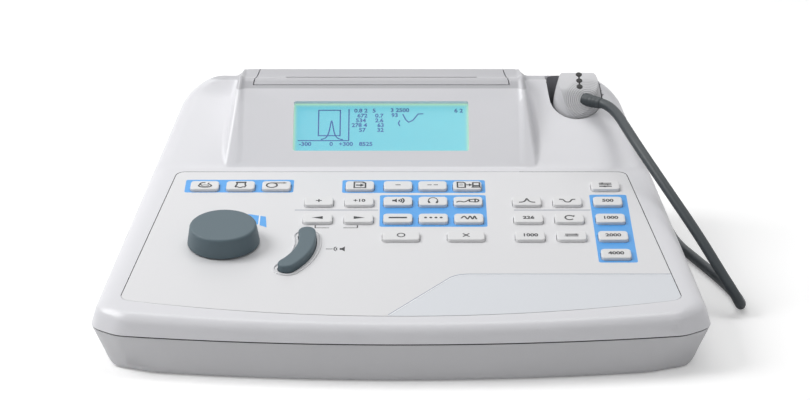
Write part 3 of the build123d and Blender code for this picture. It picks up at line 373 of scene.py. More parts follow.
class Shader:
    """A material under construction, with short ways to add its nodes."""

    def __init__(self, name: str) -> None:
        """Start an empty material.

        Args:
            name: The material's name.
        """
        self.material = bpy.data.materials.new(name)
        self.material.use_nodes = True
        self.tree = self.material.node_tree
        self.tree.nodes.clear()
        self.place = self.node("ShaderNodeTexCoord").outputs["Object"]
        parts = self.node("ShaderNodeSeparateXYZ", inputs={"Vector": self.place})
        self.x, self.y, self.z = (Socket(self, parts.outputs[axis]) for axis in "XYZ")

    def node(self, kind: str, settings: dict | None = None, inputs: dict | None = None) -> bpy.types.Node:
        """Add a node of any kind.

        Args:
            kind: The node's type.
            settings: Its settings, by name.
            inputs: The values or links of its sockets, by name or number.

        Returns:
            The node.
        """
        made = self.tree.nodes.new(kind)
        for key, setting in (settings or {}).items():
            setattr(made, key, setting)
        for key, given in (inputs or {}).items():
            if isinstance(given, Socket):
                self.tree.links.new(given.output, made.inputs[key])
            elif isinstance(given, bpy.types.NodeSocket):
                self.tree.links.new(given, made.inputs[key])
            else:
                made.inputs[key].default_value = given
        return made

    def math(self, operation: str, *values: Socket | float) -> Socket:
        """Return the result of one Math node."""
        made = self.node("ShaderNodeMath", {"operation": operation}, dict(enumerate(values)))
        return Socket(self, made.outputs[0])

    def noise(self, size: float, detail: float = 2.0, roughness: float = 0.5) -> Socket:
        """Return noise between 0 and 1 whose blots are about the given size."""
        inputs = {"Vector": self.place, "Scale": 1 / size, "Detail": detail, "Roughness": roughness}
        return Socket(self, self.node("ShaderNodeTexNoise", inputs=inputs).outputs[0])

    def cells(self, size: float) -> Socket:
        """Return the distance to the nearest of scattered points, for a pebbled grain."""
        inputs = {"Vector": self.place, "Scale": 1 / size}
        return Socket(self, self.node("ShaderNodeTexVoronoi", inputs=inputs).outputs[0])

    def mixed(self, factor: Socket, first: object, second: object) -> bpy.types.NodeSocket:
        """Mix two colours.

        Args:
            factor: The share of the second colour.
            first: A colour or a colour socket.
            second: A colour or a colour socket.

        Returns:
            The mixed colour's socket.
        """
        colours = [(*given, 1) if isinstance(given, tuple) else given for given in (first, second)]
        inputs = {0: factor, 6: colours[0], 7: colours[1]}
        return self.node("ShaderNodeMix", {"data_type": "RGBA"}, inputs).outputs[2]

    def bump(
        self, height: Socket, depth: float, under: bpy.types.NodeSocket | None = None
    ) -> bpy.types.NodeSocket:
        """Bend the normal by a height.

        Args:
            height: The height, between 0 and 1.
            depth: What its full range stands for, in metres.
            under: A normal that is bent already, where there is one.

        Returns:
            The bent normal's socket.
        """
        inputs = {"Height": height, "Distance": depth, "Strength": 1.0}
        if under:
            inputs["Normal"] = under
        return self.node("ShaderNodeBump", inputs=inputs).outputs["Normal"]

    def surface(self, inputs: dict) -> bpy.types.Material:
        """Finish the material with a Principled surface that has the given inputs."""
        surface = self.node("ShaderNodeBsdfPrincipled", inputs=inputs)
        self.node("ShaderNodeOutputMaterial", inputs={"Surface": surface.outputs[0]})
        return self.material


def distance(*steps: Socket) -> Socket:
    """Return how far steps along the axes reach together: the root of the sum of their squares."""
    total = steps[0] * steps[0]
    for step in steps[1:]:
        total = total + step * step
    return total.root()


def scaled(colour: Colour, share: float) -> Colour:
    """Return a colour times a number."""
    return tuple(part * share for part in colour)


def seen_as(red: int, green: int, blue: int) -> Colour:
    """Turn the 0 to 255 values seen on a screen into a linear colour."""
    shares = np.array([red, green, blue]) / 255
    linear = np.where(shares <= 0.04045, shares / 12.92, ((shares + 0.055) / 1.055) ** 2.4)
    return tuple(float(value) for value in linear)


MATERIALS: dict[Finish, bpy.types.Material] = {}


@dataclass(frozen=True)
class Finish:
    """What a surface is made of; each kind makes its own shader."""

    name: str
    colour: Colour

    def material(self) -> bpy.types.Material:
        """Return the finish's material, made once."""
        if self not in MATERIALS:
            MATERIALS[self] = self.made(Shader(self.name))
        return MATERIALS[self]

    def made(self, shader: Shader) -> bpy.types.Material:
        """Build the material on an empty shader."""
        raise NotImplementedError


@dataclass(frozen=True)
class MouldedPlastic(Finish):
    """Moulded plastic: a fine eroded grain, slight clouding and an uneven sheen."""

    roughness: float = 0.42
    grain: float = 0.5 * MM
    depth: float = 0.012 * MM
    clouding: float = 0.025
    shine: float = 0.45
    cloud_size: float = 60 * MM
    cell_share: float = 0.6
    cloud_sheen: float = 0.06
    grain_sheen: float = 0.05

    def tint(self, shader: Shader, wide: Socket) -> bpy.types.NodeSocket:
        """Return the colour, darker where the wide noise is low."""
        return shader.mixed(wide, scaled(self.colour, 1 - 2 * self.clouding), self.colour)

    def made(self, shader: Shader) -> bpy.types.Material:
        """Build the material: grain from cells and noise, tint and sheen from wide noise."""
        powder = shader.noise(self.grain / 2, 3.0) * (1 - self.cell_share)
        fine = shader.cells(self.grain) * self.cell_share + powder
        wide = shader.noise(self.cloud_size, 3.0)
        even = self.roughness - self.grain_sheen
        return shader.surface({
            "Base Color": self.tint(shader, wide),
            "Roughness": even + wide * self.cloud_sheen + fine * self.grain_sheen,
            "Normal": shader.bump(fine, self.depth),
            "Specular IOR Level": self.shine,
        })


@dataclass(frozen=True)
class DeckShadedPlastic(MouldedPlastic):
    """Moulded plastic with painted shade on the deck above a height, where it is greyed because the deck
    faces up and back.
    """

    deck: Colour = (0, 0, 0)
    deck_foot: float = 102.2 * MM
    deck_top: float = 102.9 * MM

    def tint(self, shader: Shader, wide: Socket) -> bpy.types.NodeSocket:
        """Return the colour: the deck's painted shade comes in between the two heights."""
        above = shader.z.ramp(self.deck_foot, self.deck_top)
        return shader.mixed(above, super().tint(shader, wide), self.deck)


@dataclass(frozen=True)
class GroovedPlastic(MouldedPlastic):
    """Moulded plastic with fine rings cut round the place where the cable leaves, with painted shade in
    their dips.
    """

    ring_centre: tuple[float, float, float] = (0, 0, 0)
    ring_pitch: float = 1.4 * MM
    ring_reach: float = 17 * MM
    ring_depth: float = 0.22 * MM
    ring_fade: float = 0.8
    ring_shade: float = 0.66
    ring_shade_mix: float = 0.6
    ring_sheen: float = 0.06

    def made(self, shader: Shader) -> bpy.types.Material:
        """Build the material: rings are the sine of the distance to the centre, faded at their reach. Their
        dips are bumped and darkened as painted shade.
        """
        axes = (shader.x, shader.y, shader.z)
        away = distance(*(axis - middle for axis, middle in zip(axes, self.ring_centre)))
        fading = 1 - away.ramp(self.ring_fade * self.ring_reach, self.ring_reach)
        rings = (away * (2 * pi / self.ring_pitch)).sine() * 0.5 + 0.5
        fine = shader.cells(self.grain)
        dip = rings * fading
        shade = scaled(self.colour, self.ring_shade)
        return shader.surface({
            "Base Color": shader.mixed(dip * self.ring_shade_mix, self.colour, shade),
            "Roughness": self.roughness + fine * self.ring_sheen,
            "Normal": shader.bump(fine, self.depth, shader.bump(1 - dip, self.ring_depth)),
        })


@dataclass(frozen=True)
class PanelBlock:
    """A printed block of colour on the key panel, by its edges in millimetres."""

    left: float
    right: float
    front: float
    back: float


@dataclass(frozen=True)
class PrintedFilm(Finish):
    """The glossy sheet over the keys, printed with blocks of colour and one cooler field."""

    ink: Colour = (0, 0, 0)
    field_tint: Colour = (0, 0, 0)
    blocks: tuple[PanelBlock, ...] = ()
    block_corner: float = 1.6 * MM
    field_back: float = 51 * MM
    field_foot_x: float = -8 * MM
    field_lean: float = 0.837
    edge: float = 0.08 * MM
    wave_size: float = 25 * MM
    grain_size: float = 0.35 * MM
    grain_depth: float = 0.006 * MM

    def made(self, shader: Shader) -> bpy.types.Material:
        """Build the material: each block is a rounded rectangle by its distance to the edge."""
        along = PANEL.along(shader.y, shader.z)
        inked = None
        for block in self.blocks:
            one = self._block(shader, along, block)
            inked = one if inked is None else inked.at_least(one)
        beside = (shader.x - along * self.field_lean - self.field_foot_x).ramp(0, self.edge)
        field = beside * (1 - (along - self.field_back).ramp(0, self.edge))
        paper = shader.mixed(field, self.colour, self.field_tint)
        wave = shader.noise(self.wave_size, 2.0)
        grain = shader.noise(self.grain_size, 2.0)
        return shader.surface({
            "Base Color": shader.mixed(inked, paper, self.ink),
            "Roughness": 0.27 + wave * 0.05 + grain * 0.06,
            "Normal": shader.bump(grain, self.grain_depth),
            "Specular IOR Level": 0.45,
        })

    def _block(self, shader: Shader, along: Socket, block: PanelBlock) -> Socket:
        """Return 1 inside a rounded rectangle and 0 outside it."""
        middle_x = (block.left + block.right) / 2 * MM
        middle_v = (block.front + block.back) / 2 * MM
        half_x = (block.right - block.left) / 2 * MM
        half_v = (block.back - block.front) / 2 * MM
        out_x = (abs(shader.x - middle_x) - (half_x - self.block_corner)).at_least(0.0)
        out_v = (abs(along - middle_v) - (half_v - self.block_corner)).at_least(0.0)
        beyond = distance(out_x, out_v) - self.block_corner
        return 1 - beyond.ramp(-self.edge / 2, self.edge / 2)


@dataclass(frozen=True)
class Ink(Finish):
    """Printing ink: matt, with a faint unevenness of the print."""

    grain_size: float = 0.4 * MM
    lightening: float = 0.04

    def made(self, shader: Shader) -> bpy.types.Material:
        """Build the material: the ink thins a little where fine noise is high."""
        thin = shader.noise(self.grain_size, 3.0)
        lighter = tuple(share + self.lightening for share in self.colour)
        return shader.surface({"Base Color": shader.mixed(thin, self.colour, lighter), "Roughness": 0.55})


@dataclass(frozen=True)
class ClearPane(Finish):
    """A clear hard pane that shows what lies behind and mirrors the lamps."""

    haze_size: float = 8 * MM

    def made(self, shader: Shader) -> bpy.types.Material:
        """Build the material: a thin tint with the faint haze of wiping marks."""
        haze = shader.noise(self.haze_size, 4.0)
        shader.material.surface_render_method = "BLENDED"
        return shader.surface({
            "Base Color": (*self.colour, 1),
            "Roughness": 0.05 + haze * 0.05,
            "Alpha": 0.04 + haze * 0.03,
            "IOR": 1.49,
        })


@dataclass(frozen=True)
class LitDisplay(Finish):
    """A backlit graphic display: paler at its rim and to the right, with a fine dot grid."""

    rim: Colour = (0, 0, 0)
    far: Colour = (0, 0, 0)
    half_width: float = 59.3 * MM
    half_height: float = 19.8 * MM
    middle: float = 34.3 * MM
    glow: float = 0.86
    dot: float = 0.55 * MM
    rim_width: float = 3.5 * MM
    cloud_size: float = 22 * MM

    def made(self, shader: Shader) -> bpy.types.Material:
        """Build the material: the rim fades over a few millimetres, and sines draw the dots."""
        along = DISPLAY_FACE.along(shader.y, shader.z) - self.middle
        across = shader.x - DISPLAY_FACE.middle_x
        rim_x = (abs(across) - self.half_width).ramp(-self.rim_width, 0)
        rim_v = (abs(along) - self.half_height).ramp(-self.rim_width, 0)
        rim = rim_x.at_least(rim_v)
        cloud = shader.noise(self.cloud_size, 2.0)
        drift = (across.ramp(-self.half_width, self.half_width) * 0.75 + cloud * 0.25).at_most(1.0)
        field = shader.mixed(drift, self.colour, self.far)
        turn = 2 * pi / self.dot
        dots = ((across * turn).sine() * (along * turn).sine()) * 0.5 + 0.5
        dimmed = shader.mixed(dots * 0.05, shader.mixed(rim * rim, field, self.rim), (0, 0.02, 0.03))
        unlit = shader.mixed(dots * 0.4, (0.05, 0.08, 0.08), (0.02, 0.04, 0.05))
        return shader.surface({
            "Base Color": unlit,
            "Emission Color": dimmed,
            "Emission Strength": self.glow,
            "Roughness": 0.35,
        })


@dataclass(frozen=True)
class Metal(Finish):
    """Bare metal with fine drawn scratches along X."""

    roughness: float = 0.3
    scratch_width: float = 0.3 * MM
    scratch_share: float = 0.06
    scratch_depth: float = 0.01 * MM
    dulling: float = 0.8

    def made(self, shader: Shader) -> bpy.types.Material:
        """Build the material: noise stretched along X roughens and bends the surface."""
        inputs = {"Vector": shader.place, "Scale": (self.scratch_share, 1, 1)}
        stretched = shader.node("ShaderNodeMapping", inputs=inputs).outputs[0]
        noise_inputs = {"Vector": stretched, "Scale": 1 / self.scratch_width, "Detail": 3.0}
        drawn = Socket(shader, shader.node("ShaderNodeTexNoise", inputs=noise_inputs).outputs[0])
        return shader.surface({
            "Base Color": shader.mixed(drawn, scaled(self.colour, self.dulling), self.colour),
            "Metallic": 1.0,
            "Roughness": self.roughness + drawn * 0.15,
            "Normal": shader.bump(drawn, self.scratch_depth),
        })


@dataclass(frozen=True)
class Rubber(Finish):
    """Soft rubber or cable jacket: dull, with a fine bloom and faint scuffs."""

    roughness: float = 0.5
    bloom_size: float = 14 * MM
    scuff_size: float = 1.2 * MM
    scuff_depth: float = 0.03 * MM

    def made(self, shader: Shader) -> bpy.types.Material:
        """Build the material: bloom lightens it in patches and scuffs change its sheen."""
        bloom = shader.noise(self.bloom_size, 4.0, 0.6)
        scuffs = shader.noise(self.scuff_size, 3.0)
        bloomed = tuple(share * 1.25 + 0.004 for share in self.colour)
        return shader.surface({
            "Base Color": shader.mixed(bloom, self.colour, bloomed),
            "Roughness": self.roughness - 0.08 + scuffs * 0.16,
            "Normal": shader.bump(scuffs, self.scuff_depth),
        })


@dataclass(frozen=True)
class Laminate(Finish):
    """A printed board: lacquer over copper tracks on a small square grid."""

    copper: Colour = (0.05, 0.22, 0.09)
    pitch: float = 2.54 * MM
    spread_size: float = 18 * MM
    track_depth: float = 0.03 * MM

    def made(self, shader: Shader) -> bpy.types.Material:
        """Build the material: tracks lie where a stepped noise is high, between grid lines."""
        inputs = {"Vector": shader.place, "Scale": 1 / self.pitch, "Randomness": 0.0}
        settings = {"distance": "MANHATTAN"}
        grid = Socket(shader, shader.node("ShaderNodeTexVoronoi", settings, inputs).outputs[0])
        spread = shader.noise(self.spread_size, 2.0)
        tracks = grid.ramp(0.42, 0.5) * spread.ramp(0.42, 0.5)
        return shader.surface({
            "Base Color": shader.mixed(tracks, self.colour, self.copper),
            "Roughness": 0.35 + tracks * 0.1,
            "Normal": shader.bump(tracks, self.track_depth),
        })


@dataclass(frozen=True)
class Paper(Finish):
    """Thermal paper: smooth, faintly fibrous, with the edges of its turns."""

    turn_step: float = 0.35 * MM
    axis_y: float = 119.5 * MM
    axis_z: float = 51.7 * MM
    fibre_size: float = 0.8 * MM
    shading: float = 0.9

    def made(self, shader: Shader) -> bpy.types.Material:
        """Build the material: turns are the sine of the distance to the roll's axis."""
        fibres = shader.noise(self.fibre_size, 4.0)
        away = distance(shader.y - self.axis_y, shader.z - self.axis_z)
        turns = (away * (2 * pi / self.turn_step)).sine() * 0.5 + 0.5
        shade = scaled(self.colour, self.shading)
        return shader.surface({
            "Base Color": shader.mixed(fibres * 0.5 + turns * 0.3, self.colour, shade),
            "Roughness": 0.6 + fibres * 0.1,
        })


# Painted shade: near-black plastic for the walls of the seam's groove and of the panel's pocket, where shade
# falls
GAP_SHADE_PAINT = MouldedPlastic("gap_dark", seen_as(40, 40, 43), roughness=0.6)
# Painted shade: the deck above the display's crease is greyed for the darker shading of that band, which
# faces up and back
DECK_PAINTED_SHADE = seen_as(194, 194, 198)
CASE_PLASTIC = DeckShadedPlastic("case_moulding", seen_as(229, 229, 233), roughness=0.3, deck=DECK_PAINTED_SHADE)
# The printer's lid takes the deck's painted shade as its whole colour
COVER_PAINTED_SHADE = MouldedPlastic("cover_plastic", DECK_PAINTED_SHADE, roughness=0.36)
# Painted shade: the lower shell is the case's plastic darkened, for the shade on its front wall
LOWER_PLASTIC_PAINTED_SHADE = MouldedPlastic("lower_moulding", seen_as(206, 206, 209), roughness=0.38)
# Painted shade: the cradle's well is the case's plastic, darkened where shade falls in it
CRADLE_SHADE_PAINT = MouldedPlastic("cradle_moulding", seen_as(132, 132, 137), roughness=0.5)
KEY_PLASTIC = MouldedPlastic("key_plastic", seen_as(232, 232, 233), roughness=0.34, depth=0.006 * MM)
CONTROL_GREY = MouldedPlastic("control_moulding", seen_as(88, 105, 113), roughness=0.5, depth=0.018 * MM)
DARK_PLASTIC = MouldedPlastic("dark_plastic", seen_as(44, 46, 48), roughness=0.45)
# Its rings get painted shade in their dips
PROBE_PLASTIC = GroovedPlastic(
    "probe_moulding", seen_as(212, 212, 215), roughness=0.4, ring_centre=(127.1 * MM, 106.7 * MM, 95 * MM)
)
NOSE_PLASTIC = MouldedPlastic("nose_plastic", seen_as(226, 226, 222), roughness=0.3)
PANEL_FILM = PrintedFilm(
    "panel_film",
    seen_as(228, 228, 230),
    ink=seen_as(88, 168, 238),
    field_tint=seen_as(223, 226, 231),
    blocks=(
        PanelBlock(-142.6, -71, 160.2, 178.5),
        PanelBlock(-39, 55.3, 159.6, 178),
        PanelBlock(-14, 55.2, 112.6, 156.5),
        PanelBlock(123, 147.4, 65.6, 157),
    ),
)
DARK_INK = Ink("dark_ink", seen_as(24, 26, 30))
GREY_INK = Ink("grey_ink", seen_as(150, 156, 170))
LIGHT_INK = Ink("light_ink", seen_as(240, 242, 245))
BLUE_INK = Ink("blue_ink", seen_as(88, 168, 238))
TRACE_INK = Ink("trace_ink", seen_as(0, 74, 166))
WINDOW_CLEAR = ClearPane("clear_pane", seen_as(235, 245, 248))
DISPLAY_LIT = LitDisplay(
    "display_lit", seen_as(96, 206, 230), rim=seen_as(190, 238, 200), far=seen_as(120, 220, 234)
)
STEEL = Metal("drawn_steel", seen_as(178, 180, 184))
NICKEL = Metal("nickel", seen_as(200, 196, 186), roughness=0.22)
FOOT_RUBBER = Rubber("foot_rubber", seen_as(42, 42, 44), roughness=0.7)
ROLLER_RUBBER = Rubber("roller_rubber", seen_as(58, 58, 60), roughness=0.65)
CABLE_JACKET = Rubber("cable_jacket", seen_as(44, 51, 55), roughness=0.46)
BOARD = Laminate("board_lacquer", seen_as(24, 92, 52))
ROLL_PAPER = Paper("roll_paper", seen_as(240, 240, 236))
LAMP_DARK = MouldedPlastic("lamp_dark", seen_as(14, 14, 16), roughness=0.3, depth=0.004 * MM, shine=0.25)


# Pieces


def add_piece(
    name: str,
    points: Array,
    faces: list,
    finish: Finish,
    body: str,
    slot: str,
    stands_for: tuple[str, ...] = (),
    sharp: float | None = None,
) -> None:
    """Make a mesh piece, dress it and let it ride on its body.

    Args:
        name: The piece's name.
        points: Rows of X, Y and Z.
        faces: Tuples of point numbers.
        finish: What its surface is made of.
        body: The body that it moves with.
        slot: The record's material slot; it is not used.
        stands_for: The CAD nodes that it replaces.
        sharp: The angle in degrees from which an edge stays sharp; without it all faces stay flat.
    """
    mesh = bpy.data.meshes.new(name)
    mesh.from_pydata(points.tolist(), [], faces)
    tidied = bmesh.new()
    tidied.from_mesh(mesh)
    bmesh.ops.remove_doubles(tidied, verts=tidied.verts, dist=MERGE_REACH)
    bmesh.ops.recalc_face_normals(tidied, faces=tidied.faces)
    tidied.to_mesh(mesh)
    tidied.free()
    if sharp:
        smooth_by_angle(mesh, sharp)
    seat(bpy.data.objects.new(name, mesh), finish, body, stands_for)


def seat(
    piece: bpy.types.Object, finish: Finish, body: str, stands_for: tuple[str, ...] = ()
) -> bpy.types.Object:
    """Link a finished object, give it its material and seat it on its body.

    Args:
        piece: The object, in its place.
        finish: What its surface is made of.
        body: The body that it moves with.
        stands_for: The CAD nodes that it replaces.

    Returns:
        The object.
    """
    bpy.context.scene.collection.objects.link(piece)
    piece.data.materials.clear()
    piece.data.materials.append(finish.material())
    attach(piece, body)
    if stands_for:
        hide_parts(*stands_for)
    log.info("made %s", piece.name)
    return piece


def smooth_by_angle(mesh: bpy.types.Mesh, limit: float) -> None:
    """Shade a mesh smooth, and keep each edge sharp where its faces meet at more than the limit.

    Args:
        mesh: The mesh.
        limit: The angle in degrees.
    """
    shaped = bmesh.new()
    shaped.from_mesh(mesh)
    for face in shaped.faces:
        face.smooth = True
    for edge in shaped.edges:
        edge.smooth = len(edge.link_faces) == 2 and edge.calc_face_angle() < radians(limit)
    shaped.to_mesh(mesh)
    shaped.free()


def paint_region_shade(mesh: bpy.types.Mesh, finish: Finish, inside: RegionTest) -> None:
    """Give the faces of a region a finish of their own, as one more material; here that finish is painted
    shade.

    Args:
        mesh: The mesh.
        finish: The finish of the region.
        inside: Tells from the faces' middles and normals, as rows of X, Y and Z, which belong to it.
    """
    middles, normals = np.empty(len(mesh.polygons) * 3), np.empty(len(mesh.polygons) * 3)
    mesh.polygons.foreach_get("center", middles)
    mesh.polygons.foreach_get("normal", normals)
    used = np.empty(len(mesh.polygons), dtype=np.int32)
    mesh.polygons.foreach_get("material_index", used)
    mesh.materials.append(finish.material())
    used[inside(middles.reshape(-1, 3), normals.reshape(-1, 3))] = len(mesh.materials) - 1
    mesh.polygons.foreach_set("material_index", used)


def in_seam(middles: Array, normals: Array) -> Array:
    """Tell which faces lie in the groove under the seam, which get painted shade: between its floor and the
    seam's height.
    """
    height, level = middles[:, 2], np.abs(normals[:, 2])
    return (height > SEAM_LOW) & (height < SEAM_HIGH) & (level < LEVEL_SHARE)


def in_panel_gap(middles: Array, normals: Array) -> Array:
    """Tell which faces are walls of the panel's pocket, which get painted shade: upright to the panel and
    just below it.
    """
    along = PANEL.along(middles[:, 1], middles[:, 2])
    lift = PANEL.lift(middles[:, 1], middles[:, 2])
    raised = np.abs(normals[:, 2] * cos(PANEL.angle) - normals[:, 1] * sin(PANEL.angle))
    below = (lift < PANEL_GAP_TOP) & (lift > PANEL_GAP_FLOOR)
    return (raised < UPRIGHT_SHARE) & below & (along > PANEL_GAP_FRONT) & (along < PANEL_GAP_BACK)


def in_cradle(middles: Array, normals: Array) -> Array:
    """Tell which faces line the cradle's well, which get painted shade: inside its round front or its
    straight back.
    """
    x, y = middles[:, 0] - CRADLE_X, middles[:, 1] - CRADLE_Y
    across = x * cos(CRADLE_YAW) + y * sin(CRADLE_YAW)
    back = y * cos(CRADLE_YAW) - x * sin(CRADLE_YAW)
    round_front = np.hypot(across, np.minimum(back, 0)) < CRADLE_RADIUS
    return round_front & (back < CRADLE_RADIUS) & (middles[:, 2] > CRADLE_FLOOR)


def move_points(mesh: bpy.types.Mesh, moved: Callable[[Array], Array]) -> None:
    """Move a mesh's points.

    Args:
        mesh: The mesh.
        moved: Takes the points as rows of X, Y and Z and gives the rows that they move to.
    """
    places = np.empty(len(mesh.vertices) * 3)
    mesh.vertices.foreach_get("co", places)
    mesh.vertices.foreach_set("co", moved(places.reshape(-1, 3)).ravel())
    mesh.update()


def smoothed_copy(
    node: bpy.types.Object, name: str, finish: Finish, body: str, cuts: Sequence = ()
) -> bpy.types.Object:
    """Show a CAD node by a merged copy whose rounded faces are shaded smooth.

    Args:
        node: The CAD node's object.
        name: The copy's name.
        finish: What its surface is made of.
        body: The body that it moves with.
        cuts: The planes, each by a point and its facing, along which it gets edges.

    Returns:
        The copy.
    """
    mesh = node.data.copy()
    mesh.name = name
    merged = bmesh.new()
    merged.from_mesh(mesh)
    bmesh.ops.remove_doubles(merged, verts=merged.verts, dist=COPY_MERGE_REACH)
    for place, facing in cuts:
        geometry = merged.verts[:] + merged.edges[:] + merged.faces[:]
        bmesh.ops.bisect_plane(merged, geom=geometry, plane_co=place, plane_no=facing)
    merged.to_mesh(mesh)
    merged.free()
    if mesh.has_custom_normals:
        mesh.normals_split_custom_set([(0, 0, 0)] * len(mesh.loops))
    smooth_by_angle(mesh, SHELL_SHARP)
    return seat(bpy.data.objects.new(name, mesh), finish, body, (node.name,))


class Mark(Enum):
    """What is printed on a key."""

    ERASE = "erase"
    PRINT = "print"
    FEED = "feed"
    PAGE = "page"
    LESS = "less"
    LEAST = "least"
    TRANSFER = "transfer"
    PROGRAM = "program"
    MORE = "more"
    WAVES = "waves"
    PHONES = "phones"
    INSERT = "insert"
    PEAK = "peak"
    REFLEX = "reflex"
    LEFT = "left"
    RIGHT = "right"
    BAR = "bar"
    DOTS = "dots"
    WARBLE = "warble"
    SAME_SIDE = "same_side"
    OTHER_SIDE = "other_side"
    ROUND = "round"
    CROSS = "cross"
    PLUS_10 = "+10"
    N_226 = "226"
    N_500 = "500"
    N_1000 = "1000"
    N_2000 = "2000"
    N_4000 = "4000"


class Drawing:
    """Flat line art in millimetres, gathered from bands, filled shapes and figures."""

    def __init__(self, pen: float = 0.9) -> None:
        """Start an empty drawing.

        Args:
            pen: The width of its lines.
        """
        self.pen = pen
        self.points: list[Array] = []
        self.faces: list[tuple[int, ...]] = []
        self.count = 0

    def _add(self, points: Array, faces: list) -> None:
        """Add points and the faces between them."""
        self.faces += [tuple(index + self.count for index in face) for face in faces]
        self.points.append(points)
        self.count += len(points)

    def line(self, path: Array | list, closed: bool = False, pen: float | None = None) -> Drawing:
        """Draw a line along a path.

        Args:
            path: Rows of two coordinates.
            closed: Whether it joins its own start.
            pen: The width, where it isn't the drawing's own.

        Returns:
            The drawing.
        """
        self._add(*ribbon(np.array(path, dtype=float), pen or self.pen, closed))
        return self

    def fill(self, path: Array | list) -> Drawing:
        """Fill the shape inside a closed path."""
        points = np.array(path, dtype=float)
        self._add(points, [tuple(range(len(points)))])
        return self

    def dot(self, x: float, y: float, radius: float) -> Drawing:
        """Fill a small round dot."""
        return self.fill(arc((x, y), (radius, radius), 0, 340, 18))

    def figures(self, text: str, x: float, y: float, height: float, weight: float = 0.035) -> Drawing:
        """Write plain figures, centred on a place.

        Args:
            text: The figures.
            x: The middle across.
            y: The middle up.
            height: The size of the type.
            weight: How much bolder than plain it is, as a share of its size.

        Returns:
            The drawing.
        """
        curve = bpy.data.curves.new("figures", "FONT")
        curve.body = text
        curve.size = height
        curve.align_x = "CENTER"
        curve.align_y = "CENTER"
        curve.resolution_u = 3
        curve.offset = weight * height
        holder = bpy.data.objects.new("figures", curve)
        flat = bpy.data.meshes.new_from_object(holder)
        found = np.empty(len(flat.vertices) * 3)
        flat.vertices.foreach_get("co", found)
        faces = [tuple(polygon.vertices) for polygon in flat.polygons]
        self._add(found.reshape(-1, 3)[:, :2] + np.array([x, y]), faces)
        bpy.data.objects.remove(holder)
        bpy.data.curves.remove(curve)
        bpy.data.meshes.remove(flat)
        return self

    def laid(self, slope: Slope, x: float, along: float, lift: float, stretch: tuple = (1, 1)) -> Array:
        """Return the drawing's points on a slope, stretched, with its origin at a place in millimetres."""
        flat = np.vstack(self.points) * np.array(stretch)
        rows = np.column_stack((flat[:, 0] + x, flat[:, 1] + along, np.full(len(flat), lift)))
        return slope.place(rows * MM)


